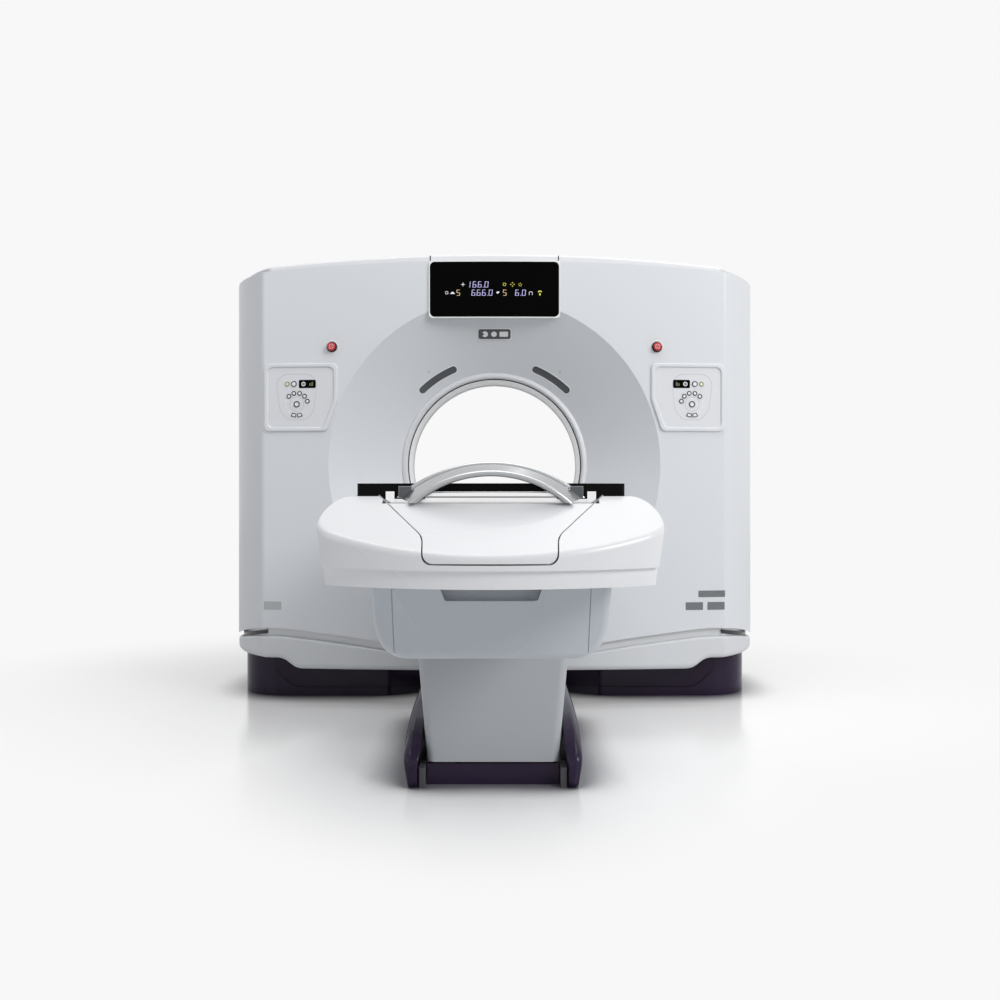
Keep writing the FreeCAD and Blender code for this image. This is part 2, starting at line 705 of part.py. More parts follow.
# ---------------------------------------------------------------- gantry covers
def front_cover(air):
    back = air.copy()
    back.translate(V(0, WALL * 1.15, 0))
    outer = body_form(0, 0, 0).cut(air)
    inner = body_form(WALL, 60, 60).cut(back)
    cover = shell_of(outer, inner, -FAR / 4, FRONT_SPLIT_Y - SEAM / 2)
    cover = cover.cut(Part.makeCylinder(LIP_R, 900, V(0, -800, ISO_Z), V(0, 1, 0)))
    cover = cover.cut(display_block()).cut(indicator_panel())
    slot = arc_slot(0)
    plate = face_plate(panel_corners(0), 40, WALL + 2)
    hole = face_cylinder(ESTOP_X, ESTOP_Z, ESTOP_BARREL_R, 20, 30)
    seat = face_cylinder(ESTOP_X, ESTOP_Z, ESTOP_FLANGE_R, 20, 0)
    for cutter in (slot, plate, hole, seat):
        cover = cover.cut(cutter).cut(mirrored(cutter))
    return cover


def rear_cover():
    air = dish_air(REAR_DISH_R, REAR_LIP_R, REAR_RING_Y, 1)
    back = air.copy()
    back.translate(V(0, -WALL * 1.15, 0))
    outer = body_form(0, 0, 0).cut(air)
    inner = body_form(WALL, 60, 60).cut(back)
    cover = shell_of(outer, inner, REAR_SPLIT_Y + SEAM / 2, FAR / 4)
    cover = cover.cut(Part.makeCylinder(REAR_LIP_R, 900, V(0, 300, ISO_Z), V(0, 1, 0)))
    for vent in vents_rear():
        cover = cover.cut(vent)
    return cover


def vents_rear():
    """Two banks of upright air slots low in the rear cover."""
    slots = []
    for side in (-1, 1):
        for i in range(VENTS):
            x = side * (VENT_X + VENT_PITCH * i)
            corners = rounded_rect(x - SLOT_W / 2, VENT_LOW_Z, x + SLOT_W / 2, VENT_HIGH_Z, SLOT_W / 2 - 0.1)
            slots.append(front_prism(corners, REAR_RING_Y, REAR_Y + 60))
    return slots


def side_cover():
    """The right-hand side cover, with a bank of louvre slots for the cooling air."""
    cover = shell_of(body_form(0, 0, 0), body_form(WALL, 60, 60),
                     FRONT_SPLIT_Y + SEAM / 2, REAR_SPLIT_Y - SEAM / 2)
    cover = cover.common(box((0, -FAR, 0), (FAR / 2, FAR, FAR / 2)))
    for i in range(LOUVRES):
        z = LOUVRE_Z + LOUVRE_PITCH * i
        slot = rounded_rect(LOUVRE_NEAR_Y, z, LOUVRE_FAR_Y, z + SLOT_W, SLOT_W / 2 - 0.1)
        cover = cover.cut(side_prism(slot, HALF_W - 65, HALF_W + 35))
    return cover


def lid_form(inset, rise):
    near = -FAR / 4
    half = LID_HALF_W - inset
    upper = arch(LID_TOP_Z - inset, LID_TOP_R, half, near)
    lower = arch(BODY_TOP_Z - LID_LIP + rise, BODY_TOP_R, half, near)
    a = max((v.Point for v in lower.Vertexes), key=lambda p: p.x)
    b = max((v.Point for v in upper.Vertexes), key=lambda p: p.x)
    right = Part.LineSegment(a, b).toShape()
    wire = Part.Wire(Part.__sortEdges__([lower, right, upper, mirrored(right)]))
    slab = Part.Face(wire).extrude(V(0, FAR / 2, 0))
    plan = gantry_plan(LID_INSET + inset, 0, FAR / 2)
    for side in (-1, 1):
        shifted = gantry_plan(LID_INSET + inset, 0, FAR / 2)
        shifted.translate(V(side * LID_END_INSET, 0, 0))
        plan = plan.common(shifted)
    return slab.common(plan)


def top_covers():
    """Three lids over the open top of the body, with a rounded upper rim."""
    outer = lid_form(0, 0)
    outer = try_fillet(outer, 10, is_lid_rim)
    lid = outer.cut(lid_form(WALL, -60))
    cuts = {
        "top_cover_left": (-FAR / 2, -LID_SEAM_X - SEAM / 2),
        "top_cover_centre": (-LID_SEAM_X + SEAM / 2, LID_SEAM_X - SEAM / 2),
        "top_cover_right": (LID_SEAM_X + SEAM / 2, FAR / 2),
    }
    return {name: lid.common(box((a, -FAR, 0), (b, FAR, FAR / 2))) for name, (a, b) in cuts.items()}


def is_lid_rim(edge):
    """The upper outer edge of the lid: it lies on the top arch and isn't a seam."""
    for v in edge.Vertexes:
        x = v.Point.x
        if abs(v.Point.z - (LID_TOP_Z - x * x / (2 * LID_TOP_R))) > 2:
            return False
    return True


def lower_form(inset, rise, drop):
    """The lower cover as a closed form: a lip that follows the body's edge, and a stepped underside."""
    near = -FAR / 4
    upper = edge_spline(REVEAL, inset, near)
    upper.translate(V(0, 0, rise))
    ends = [v.Point for v in upper.Vertexes]
    right = max(ends, key=lambda p: p.x)
    low = SKIRT_LOW_Z - drop
    high = SKIRT_HIGH_Z - drop
    half = right.x
    points = [
        V(half, near, high), V(SKIRT_STEP_OUT_X, near, high), V(SKIRT_STEP_IN_X, near, low),
        V(-SKIRT_STEP_IN_X, near, low), V(-SKIRT_STEP_OUT_X, near, high), V(-half, near, high),
    ]
    edges = [Part.LineSegment(right, points[0]).toShape()]
    edges.append(Part.LineSegment(points[0], points[1]).toShape())
    edges.append(ease_curve(points[1], points[2]))
    edges.append(Part.LineSegment(points[2], points[3]).toShape())
    edges.append(ease_curve(points[4], points[3]))
    edges.append(Part.LineSegment(points[4], points[5]).toShape())
    edges.append(Part.LineSegment(points[5], V(-half, near, right.z)).toShape())
    edges.append(upper)
    wire = Part.Wire(Part.__sortEdges__(edges))
    slab = Part.Face(wire).extrude(V(0, FAR / 2, 0))
    return slab.common(gantry_plan(inset, 0, FAR / 2))


def ease_curve(a, b):
    """An S-shaped step that leaves a and reaches b level."""
    curve = Part.BezierCurve()
    run = (b.x - a.x) / 2
    curve.setPoles([a, V(a.x + run, a.y, a.z), V(b.x - run, b.y, b.z), b])
    return curve.toShape()


def lower_covers():
    outer = lower_form(2, 0, 0)
    outer = try_fillet(outer, 10, is_upper_rim)
    outer = try_fillet(outer, 26, is_lower_rim)
    hollow = gantry_plan(2 + BUMPER, 0, 600)
    front = shell_of(outer, hollow, -FAR / 4, LOWER_SPLIT_Y - SEAM / 2)
    rear = shell_of(outer, hollow, LOWER_SPLIT_Y + SEAM / 2, FAR / 4)
    return front, rear


def runs_round(edge):
    """True for an edge that follows the plan outline, not a crease between two faces."""
    ends = [v.Point for v in edge.Vertexes]
    return (ends[0] - ends[-1]).Length > 20 and edge.BoundBox.YLength > 5


def lip_z(x):
    """Height of the lip of the lower cover above a point on the X axis."""
    half = [(a, z - REVEAL) for a, z in EDGE_CURVE]
    x = min(abs(x), half[-1][0])
    for (x0, z0), (x1, z1) in zip(half, half[1:]):
        if x <= x1:
            return z0 + (z1 - z0) * (x - x0) / (x1 - x0)
    return half[-1][1]


def is_upper_rim(edge):
    return runs_round(edge) and all(v.Point.z > lip_z(v.Point.x) - 25 for v in edge.Vertexes)


def is_lower_rim(edge):
    return runs_round(edge) and all(v.Point.z < SKIRT_HIGH_Z + 5 for v in edge.Vertexes) and (
        edge.BoundBox.ZMax < SKIRT_HIGH_Z + 5)


def reveal_band():
    """The recessed band in the joint between body and lower cover."""
    band = lower_form(25, 70, 0).cut(lower_form(31, 90, 90))
    return band.cut(lower_form(0, 0, 0))


def shoe_corners(inset):
    i = inset
    return [
        (SHOE_BEND_X, SHOE_FRONT_Y + i, 40), (SHOE_OUT_X - i, SHOE_FRONT_Y + i, 200 - i),
        (SHOE_OUT_X - i, SHOE_REAR_Y - i, 200 - i), (SHOE_BEND_X, SHOE_REAR_Y - i, 40),
        (SHOE_IN_X + i, SHOE_REAR_Y - SHOE_DRAW, 30), (SHOE_IN_X + i, SHOE_FRONT_Y + SHOE_DRAW, 30),
    ]


def base_shoe():
    """The right-hand shoe: a moulded skirt whose inner half is recessed above a kick strip."""
    shoe = plan_prism(shoe_corners(0), 0, SHOE_TOP_Z)
    near = SHOE_FRONT_Y - 50
    over = SHOE_TOP_Z + 85
    end = SHOE_IN_X - 30
    a = V(SHOE_CURVE_OUT[0], near, SHOE_CURVE_OUT[1])
    b = V(SHOE_CURVE_IN[0], near, SHOE_CURVE_IN[1])
    edges = [
        Part.LineSegment(V(a.x, near, over), a).toShape(),
        ease_curve(a, b),
        Part.LineSegment(b, V(end, near, b.z)).toShape(),
        Part.LineSegment(V(end, near, b.z), V(end, near, over)).toShape(),
        Part.LineSegment(V(end, near, over), V(a.x, near, over)).toShape(),
    ]
    region = Part.Face(Part.Wire(edges)).extrude(V(0, FAR / 4, 0))
    skin = shoe.cut(plan_prism(shoe_corners(SHOE_RECESS), -1, SHOE_TOP_Z + 1))
    wedge = [(a.x, SHOE_FRONT_Y, 0), (b.x, SHOE_FRONT_Y + SHOE_RECESS, 0), (b.x, 0, 0), (a.x, 0, 0)]
    taper = plan_prism(wedge, -1, SHOE_TOP_Z + 1)
    front = box((end, near, 0), (a.x, SHOE_FRONT_Y + 165, over))
    recess = region.common(skin).common(front).cut(taper)
    way = box((end, BEAM_NEAR_Y - 6, BEAM_LOW_Z - 6), (SHOE_BEND_X + 14, BEAM_HEAD_Y + 6, over))
    hollow = plan_prism(shoe_corners(SHOE_WALL), -1, SHOE_TOP_Z + 1)
    return shoe.cut(recess).cut(hollow).cut(way)


# ---------------------------------------------------------------- bore
def bore_ring():
    """The rolled ring that frames the mouth of the bore."""
    y = DISH_RING_Y
    corners = [(BORE_R, y + 18, 0), (LIP_R, y + 18, 0), (LIP_R, y - 6, 8), (BORE_R, y - 12, 10)]
    wire = round_outline(corners, lambda u, v: V(u, v, ISO_Z))
    return Part.Face(wire).revolve(V(0, 0, ISO_Z), V(0, 1, 0), 360)


def bore_liner():
    """The tube that lines the bore, with a groove for the window strip in the scan plane."""
    near = DISH_RING_Y + 18
    far = REAR_RING_Y + 12
    flange = far - 20
    outline = [(BORE_R, near), (BORE_R, FLARE_Y), (REAR_BORE_R, far), (REAR_LIP_R, far), (REAR_LIP_R, flange),
               (REAR_BORE_R + WALL, flange), (BORE_R + WALL, FLARE_Y), (BORE_R + WALL, near)]
    points = [V(r, y, ISO_Z) for r, y in outline]
    section = Part.Face(Part.makePolygon(points + points[:1]))
    liner = section.revolve(V(0, 0, ISO_Z), V(0, 1, 0), 360)
    return liner.cut(tube_y(BORE_R - 5, BORE_R + WINDOW_T, -WINDOW_HALF_W, WINDOW_HALF_W))


def scan_window():
    return tube_y(BORE_R + 0.5, BORE_R + WINDOW_T, -WINDOW_HALF_W, WINDOW_HALF_W)


# ---------------------------------------------------------------- gantry frame and rotor
def base_frame():
    """A welded steel base on two floor plates, with the stand that holds the main bearing."""
    parts = []
    plate = box((FLOOR_PLATE_IN_X, FLOOR_PLATE_NEAR_Y, 0), (FLOOR_PLATE_OUT_X, FLOOR_PLATE_FAR_Y, BEAM_LOW_Z))
    rail = box((RAIL_IN_X, FLOOR_PLATE_NEAR_Y + 2, BEAM_LOW_Z), (RAIL_OUT_X, FLOOR_PLATE_FAR_Y, RAIL_TOP_Z))
    for piece in (plate, rail):
        parts += [piece, mirrored(piece)]
    parts.append(box((-RAIL_OUT_X, BEAM_NEAR_Y, BEAM_LOW_Z), (RAIL_OUT_X, BEAM_HEAD_Y, RAIL_TOP_Z)))
    stand = front_prism(STAND_OUTLINE, STAND_Y, STAND_Y + STAND_T)
    hole = Part.makeCylinder(BEARING_OUT_R, 400, V(0, 0, ISO_Z), V(0, 1, 0))
    frame = parts[0].multiFuse(parts[1:] + [stand]).cut(hole)
    for x in (-ANCHOR_X, ANCHOR_X):
        for y in (-ANCHOR_Y, ANCHOR_Y):
            frame = frame.cut(Part.makeCylinder(ANCHOR_HOLE_R, 60, V(x, y, -10)))
    return frame.removeSplitter()


def bearing_outer_ring():
    return tube_y(BEARING_R + BEARING_GAP, BEARING_OUT_R, STAND_Y - 6, STAND_Y + STAND_T + 6)


def bearing_inner_ring():
    return tube_y(ROTOR_IN_R + 3, BEARING_R, PLATE_Y + PLATE_T, STAND_Y + STAND_T + 14)


def slip_ring():
    """A disc of contact tracks behind the stand."""
    near = STAND_Y + STAND_T + 14
    far = near + SLIP_RING_T
    disc = tube_y(ROTOR_IN_R + 3, SLIP_RING_R, near, far)
    for i in range(TRACKS):
        r = TRACK_R + TRACK_PITCH * i
        disc = disc.cut(tube_y(r, r + TRACK_W, far - 4, far + 1))
    return disc


def rotor_drum():
    """A cast plate with a rim, and windows between its spokes."""
    plate = tube_y(ROTOR_IN_R, ROTOR_R, PLATE_Y, PLATE_Y + PLATE_T)
    rim = tube_y(ROTOR_R - RIM_T, ROTOR_R, PLATE_Y - RIM_DEPTH, PLATE_Y)
    plate = plate.fuse(rim)
    step = 360 / WINDOW_ANGLES
    for i in range(WINDOW_ANGLES):
        start = step * i + (step - WINDOW_SPAN_DEG) / 2
        plate = plate.cut(sector_y(WINDOW_IN_R, WINDOW_OUT_R, start, start + WINDOW_SPAN_DEG,
                                   PLATE_Y - 5, PLATE_Y + PLATE_T + 5))
    return plate.removeSplitter()


def xray_tube():
    """The tube housing: a drum along Y with a coned end and a flat port towards the bore."""
    z = ISO_Z + FOCUS_R + TUBE_ABOVE_FOCUS
    profile = [(0, TUBE_NEAR_Y, 0), (TUBE_R - 40, TUBE_NEAR_Y, 0), (TUBE_R, TUBE_NEAR_Y + 40, 12),
               (TUBE_R, PLATE_Y - 52, 12), (TUBE_R - 20, PLATE_Y, 0), (0, PLATE_Y, 0)]
    wire = round_outline(profile, lambda u, v: V(u, v, z))
    drum = Part.Face(wire).revolve(V(0, 0, z), V(0, 1, 0), 360)
    port = box((-PORT_HALF_W, -PORT_HALF_W, ISO_Z + COLLIMATOR_OUT_R), (PORT_HALF_W, PORT_HALF_W, z))
    return drum.fuse(port).removeSplitter()


def collimator():
    """The box of blades under the tube port, open where the fan beam leaves it."""
    low = ISO_Z + COLLIMATOR_IN_R
    top = ISO_Z + COLLIMATOR_OUT_R
    block = front_prism([(-90, low, 10), (90, low, 10), (120, top, 0), (-120, top, 0)], -85, 85)
    arm = box((-110, 85, low + 10), (110, PLATE_Y, top))
    slot = box((-70, -30, low - 40), (70, 30, top + 12))
    return block.fuse(arm).removeSplitter().cut(slot)


def detector_arc():
    """A curved bank of detectors centred on the X-ray focus."""
    z = ISO_Z + FOCUS_R
    low = 270 - DETECTOR_HALF_DEG
    high = 270 + DETECTOR_HALF_DEG
    bank = sector_y(DETECTOR_DIST, DETECTOR_DIST + DETECTOR_T, low, high,
                    -DETECTOR_HALF_W, DETECTOR_HALF_W, z)
    carrier = sector_y(DETECTOR_DIST + 20, DETECTOR_DIST + DETECTOR_T + 20, low, high,
                       DETECTOR_HALF_W, PLATE_Y, z)
    return bank.fuse(carrier).removeSplitter()


def generator():
    near = -170.0
    block = sector_y(PACK_IN_R, PACK_OUT_R, 152, 204, near, PLATE_Y)
    return try_fillet(block, 12, lambda e: abs(e.BoundBox.YMax - near) < 1)


def heat_exchanger():
    """The tube's oil cooler: a finned block opposite the generator."""
    near = -120.0
    block = sector_y(PACK_IN_R, PACK_OUT_R, -24, 28, near, PLATE_Y)
    for i in range(COOLER_FINS):
        y = near + 8 + i * COOLER_PITCH
        block = block.cut(tube_y(COOLER_FIN_R, PACK_OUT_R + 20, y, y + COOLER_PITCH / 2))
    return block


# ---------------------------------------------------------------- table
def top_section(inset):
    """Cross-section of the table top, seen from its end."""
    foot = TOP_FOOT_HALF_W - inset
    shoulder = TOP_HALF_W - inset
    low = SKIRT_Z + inset
    high = CREST_Z - inset
    r = TOP_CORNER_R - inset
    return [(-foot, low, 0), (foot, low, 0), (shoulder, high, r), (-shoulder, high, r)]


def nose_plan(inset, low, high):
    """The plan of the table's end: a bowed nose between rounded corners."""
    i = inset
    radius = NOSE_R - i
    centre = V(0, TABLE_NEAR_Y + NOSE_R, 0)
    a = math.radians(NOSE_DEG)
    tip = V(radius * math.sin(a), centre.y - radius * math.cos(a), 0)
    edges = [Part.Arc(V(-tip.x, tip.y, 0), V(0, centre.y - radius, 0), tip).toShape()]
    side = V(TOP_HALF_W + 1 - i, tip.y + 105, 0)
    bend = Part.BezierCurve()
    lead = 58.0
    bend.setPoles([tip, tip + V(math.cos(a), math.sin(a), 0) * lead, side - V(0, lead, 0), side])
    right = bend.toShape()
    back = V(side.x, -2000.0, 0)
    edges += [right, mirrored(right), Part.LineSegment(side, back).toShape(),
              Part.LineSegment(V(-side.x, side.y, 0), V(-back.x, back.y, 0)).toShape(),
              Part.LineSegment(back, V(-back.x, back.y, 0)).toShape()]
    wire = Part.Wire(Part.__sortEdges__(edges))
    wire.translate(V(0, 0, low))
    return Part.Face(wire).extrude(V(0, 0, high - low))


def under_slope(inset):
    """Everything under the slope that runs from the crest down to the nose."""
    fall = (CREST_Z - NOSE_Z) / (CREST_Y - TABLE_NEAR_Y)
    drop = inset * math.sqrt(1 + fall * fall)
    far = CREST_Y - TABLE_NEAR_Y + 200
    corners = [(CREST_Y - far, 0, 0), (-1500, 0, 0), (-1500, CREST_Z + 100, 0), (CREST_Y, CREST_Z + 100, 0),
               (CREST_Y, CREST_Z - drop + 1, 0), (CREST_Y - far, CREST_Z - drop + 1 - fall * far, 0)]
    return side_prism(corners, -600, 600)


def end_form(inset):
    form = front_prism(top_section(inset), TABLE_NEAR_Y - 100, END_COVER_BACK_Y)
    form = form.common(nose_plan(inset, 600, 1000)).common(under_slope(inset))
    line = SKIRT_LINE_Z + inset
    band = nose_plan(inset - 1, 600, line).cut(nose_plan(inset + SKIRT_INSET, 500, line + 1))
    form = form.cut(band)
    return form if inset else try_fillet(form, 16, is_nose_crest)


def is_nose_crest(edge):
    """The edge where the slope of the end meets its bowed nose."""
    fall = (CREST_Z - NOSE_Z) / (CREST_Y - TABLE_NEAR_Y)
    for v in edge.Vertexes:
        p = v.Point
        if p.y > CREST_Y - 40 or abs(p.z - CREST_Z - 1 + fall * (CREST_Y - p.y)) > 1.5:
            return False
    return edge.BoundBox.XLength > 30 or edge.BoundBox.YLength < 200


def insert_prism(margin):
    """The insert in the end, seen from the front: narrow on the nose, widening up the slope."""
    low = INSERT_OUTLINE[0][1]
    right = [(x + margin, z - margin if z == low else z, r) for x, z, r in INSERT_OUTLINE]
    left = [(-x, z, r) for x, z, r in reversed(right)]
    return front_prism(left + right, TABLE_NEAR_Y - 100, -2650)


def cradle_channel():
    """The way along which the cradle slides: a wide bearer level and a deeper middle channel."""
    wide = box((-BEARER_HALF_W, BOARD_NEAR_Y - 4, BEARER_Z), (BEARER_HALF_W, 0, 1100))
    deep = box((-CHANNEL_HALF_W, CHANNEL_NEAR_Y, DECK_Z), (CHANNEL_HALF_W, 0, 1100))
    return wide.fuse(deep)


def frame_space(margin):
    """The outline of the table frame, with a margin, that the covers keep clear of."""
    m = margin
    corners = [(-BEARER_HALF_W - m, FRAME_LOW_Z - m, 0), (BEARER_HALF_W + m, FRAME_LOW_Z - m, 0),
               (BEARER_HALF_W + m, 1200, 0), (-BEARER_HALF_W - m, 1200, 0)]
    return front_prism(corners, FRAME_NEAR_Y - m, 0)


def end_cover_and_insert():
    shell = end_form(0).cut(end_form(WALL)).cut(cradle_channel()).cut(frame_space(1))
    back_wall = box((-600, END_COVER_BACK_Y - WALL - 1, 0), (600, 0, 2000))
    shell = shell.cut(back_wall.common(front_prism(top_section(WALL), END_COVER_BACK_Y - 60, 0)))
    deck = box((-CHANNEL_HALF_W, CHANNEL_NEAR_Y - WALL, DECK_Z - WALL),
               (CHANNEL_HALF_W, FRAME_NEAR_Y - 1, DECK_Z))
    cover = shell.cut(insert_prism(3))
    insert = shell.common(insert_prism(0)).fuse(deck.common(insert_prism(0)))
    cover = biggest(cover)
    return cover, biggest(insert)


def biggest(shape):
    return max(shape.Solids, key=lambda s: s.Volume)


def side_rail():
    """The right-hand side cover of the table top, an open section with a foot flange."""
    near = END_COVER_BACK_Y + SEAM
    far = HEAD_COVER_Y - SEAM
    rail = front_prism(top_section(0), near, far).cut(front_prism(top_section(WALL), near - 1, far + 1))
    rail = rail.common(box((0, near, 0), (600, far, 2000)))
    return rail.cut(box((-1, near - 1, 700), (282, far + 1, 740))).cut(
        box((-1, near - 1, 800), (BEARER_HALF_W + 1, far + 1, 1100)))


def head_cover():
    """The cap at the gantry end of the table top, open above for the cradle."""
    corners = [(-380, HEAD_COVER_Y, 0), (380, HEAD_COVER_Y, 0), (380, TABLE_HEAD_Y, 70),
               (-380, TABLE_HEAD_Y, 70)]
    inner = [(-380 + 26, HEAD_COVER_Y - 9, 0), (380 - 26, HEAD_COVER_Y - 9, 0),
             (380 - 26, TABLE_HEAD_Y - WALL, 62), (-380 + 26, TABLE_HEAD_Y - WALL, 62)]
    form = front_prism(top_section(0), HEAD_COVER_Y, TABLE_HEAD_Y).common(plan_prism(corners, 600, 1000))
    hollow = front_prism(top_section(WALL), HEAD_COVER_Y - 9, TABLE_HEAD_Y - WALL)
    cap = form.cut(hollow.common(plan_prism(inner, 600, 1000)))
    cap = cap.cut(cradle_channel())
    cap = cap.cut(frame_space(1).common(box((-600, -3000, 0), (600, FRAME_HEAD_Y + 1, 2000))))
    return biggest(cap.cut(box((-282, HEAD_COVER_Y - 1, 700), (282, HOUSING_HEAD_Y, 740))))


def table_frame():
    """One aluminium extrusion: a floor for the channel, two bearer strips and two deep beams."""
    c = CHANNEL_HALF_W
    b = BEARER_HALF_W
    right = [(c, BEARER_Z), (b, BEARER_Z), (b, FRAME_LOW_Z), (266, FRAME_LOW_Z), (266, 745), (242, 745),
             (242, FRAME_LOW_Z)]
    outline = [(-c, DECK_Z), (c, DECK_Z)] + right + [(-x, z) for x, z in reversed(right)]
    corners = [(x, z, 0) for x, z in outline]
    return front_prism(corners, FRAME_NEAR_Y, FRAME_HEAD_Y)


def housing_corners(inset):
    """The housing seen from the front; an inset outline runs on above the open top."""
    top = SKIRT_Z + (50 if inset else 0)
    right = [(HOUSING_LOW_HALF_W - inset, HOUSING_LOW_Z + inset, 72 - inset),
             (HOUSING_BEND[0] - inset, HOUSING_BEND[1], 40), (HOUSING_TOP_HALF_W - inset, top, 0)]
    return [(-x, z, r) for x, z, r in reversed(right)] + right


def upper_housing():
    """The deep cover under the table top, cut out below where it comes down over the pedestal."""
    wall = HOUSING_WALL
    body = front_prism(housing_corners(0), HOUSING_NEAR_Y, HOUSING_HEAD_Y)
    body = try_fillet(body, 16, is_housing_front)
    for side in (-1, 1):
        seam = [(side * 229, 740, 0), (side * 231, 740, 0), (side * 220, 500, 0), (side * 218, 500, 0)]
        body = body.cut(front_prism(seam, HOUSING_NEAR_Y - 10, HOUSING_NEAR_Y + 3))
    hollow = front_prism(housing_corners(wall), HOUSING_NEAR_Y + wall, HOUSING_HEAD_Y - wall)
    shell = body.cut(hollow)
    mouth = box((-243, PEDESTAL_NEAR_Y - 12, 500), (243, PEDESTAL_HEAD_Y + 12, 600))
    shell = shell.cut(mouth)
    lining = front_prism(grip_corners(GRIP_WALL), HOUSING_NEAR_Y + 2, HOUSING_NEAR_Y + GRIP_DEPTH + GRIP_WALL)
    pocket = front_prism(grip_corners(0), HOUSING_NEAR_Y - 5, HOUSING_NEAR_Y + GRIP_DEPTH)
    return shell.fuse(lining).cut(pocket).removeSplitter()


def grip_corners(margin):
    """The grip recess seen from the front, narrower below."""
    top = GRIP_TOP_HALF_W + margin
    low = GRIP_LOW_HALF_W + margin
    return [(-top, GRIP_TOP_Z + margin, 0), (top, GRIP_TOP_Z + margin, 0),
            (low, GRIP_LOW_Z - margin, 8), (-low, GRIP_LOW_Z - margin, 8)]


def is_housing_front(edge):
    box_ = edge.BoundBox
    return box_.YLength < 0.1 and box_.YMax < HOUSING_NEAR_Y + 1 and box_.ZMin < SKIRT_Z - 1


def pedestal_loft(inset, low, high):
    """The pedestal widens up to a shoulder and then stays straight, with rounded upright edges."""
    def wire(z, half):
        near = PEDESTAL_NEAR_Y + inset
        far = PEDESTAL_HEAD_Y - inset
        r = PEDESTAL_CORNER_R
        corners = [(-half + inset, near, r), (half - inset, near, r),
                   (half - inset, far, r), (-half + inset, far, r)]
        return round_outline(corners, lambda u, v: V(u, v, z))

    rate = (PEDESTAL_HALF_W - PEDESTAL_FOOT_HALF_W) / (PEDESTAL_WIDE_Z - PEDESTAL_FOOT_Z)
    foot = PEDESTAL_FOOT_HALF_W - rate * (PEDESTAL_FOOT_Z - low)
    wires = [wire(low, foot), wire(PEDESTAL_WIDE_Z, PEDESTAL_HALF_W), wire(high, PEDESTAL_HALF_W)]
    return Part.makeLoft(wires, True, True)


def pedestal_cover():
    outer = pedestal_loft(0, PEDESTAL_FOOT_Z, PEDESTAL_TOP_Z)
    return outer.cut(pedestal_loft(PEDESTAL_WALL, PEDESTAL_FOOT_Z - 5, PEDESTAL_TOP_Z + 5))


def base_fin():
    """The right-hand shroud of the base: bulging outside, leaning inside, with a swept and rounded nose."""
    form = front_prism(FIN_SECTION, FIN_NEAR_Y, FIN_HEAD_Y).common(fin_side())
    form = try_fillet(form, FIN_EDGE_R, is_fin_outer_edge)
    return try_fillet(form, FIN_INNER_R, is_fin_inner_edge)


def fin_side():
    """The fin seen from the side: its top sweeps up from the nose on a quarter ellipse."""
    x = -400
    rise = FIN_TOP_Z - FIN_NOSE_Z
    steps = 8
    near = []
    for i in range(steps + 1):
        a = math.pi / 2 * i / steps
        near.append(V(x, FIN_NEAR_Y + FIN_SWEEP * (1 - math.cos(a)), FIN_NOSE_Z + rise * math.sin(a)))
    sweep = Part.BSplineCurve()
    sweep.interpolate(near)
    nose = V(x, FIN_NEAR_Y, 0)
    head = V(x, FIN_HEAD_Y, 0)
    head_top = V(x, FIN_HEAD_Y - FIN_HEAD_R, FIN_TOP_Z)
    head_side = V(x, FIN_HEAD_Y, FIN_TOP_Z - FIN_HEAD_R)
    corner = FIN_HEAD_R * (1 - math.sqrt(0.5))
    edges = [
        Part.LineSegment(nose, near[0]).toShape(),
        sweep.toShape(),
        Part.LineSegment(near[-1], head_top).toShape(),
        Part.Arc(head_top, V(x, FIN_HEAD_Y - corner, FIN_TOP_Z - corner), head_side).toShape(),
        Part.LineSegment(head_side, head).toShape(),
        Part.LineSegment(head, nose).toShape(),
    ]
    return Part.Face(Part.Wire(edges)).extrude(V(800, 0, 0))


def is_fin_outer_edge(edge):
    """The long upper edge on the outside, from the foot of the nose to the far end."""
    box_ = edge.BoundBox
    outside = box_.XMin > 262 and box_.ZMin > 1 and box_.ZMax > 60
    along = box_.YLength > 20 or box_.YMax < FIN_NEAR_Y + 1
    return outside and along and box_.YMin < FIN_HEAD_Y - FIN_HEAD_R - 1


def is_fin_inner_edge(edge):
    box_ = edge.BoundBox
    long_and_high = box_.YLength > 200 and box_.ZMin > FIN_NOSE_Z - 10 and box_.ZMax > FIN_TOP_Z - 5
    return long_and_high and box_.XMax < 236


def base_front_plate():
    """The kick plate between the fins, under the front edge of the pedestal."""
    corners = rounded_rect(-KICK_HALF_W, 0, KICK_HALF_W, KICK_TOP_Z, 4)
    return front_prism(corners, PEDESTAL_NEAR_Y + 8, PEDESTAL_NEAR_Y + 22)


def column_tube(index):
    """One of the three nested tubes of the lifting column."""
    w, d, wall = COLUMN_SIZES[index]
    low, high = COLUMN_SPANS[index]

    def ring(half_w, half_d, r):
        return [(-half_w, COLUMN_Y - half_d, r), (half_w, COLUMN_Y - half_d, r),
                (half_w, COLUMN_Y + half_d, r), (-half_w, COLUMN_Y + half_d, r)]

    outer = plan_prism(ring(w / 2, d / 2, 18), low, high)
    return outer.cut(plan_prism(ring(w / 2 - wall, d / 2 - wall, 18 - wall), low - 1, high + 1))


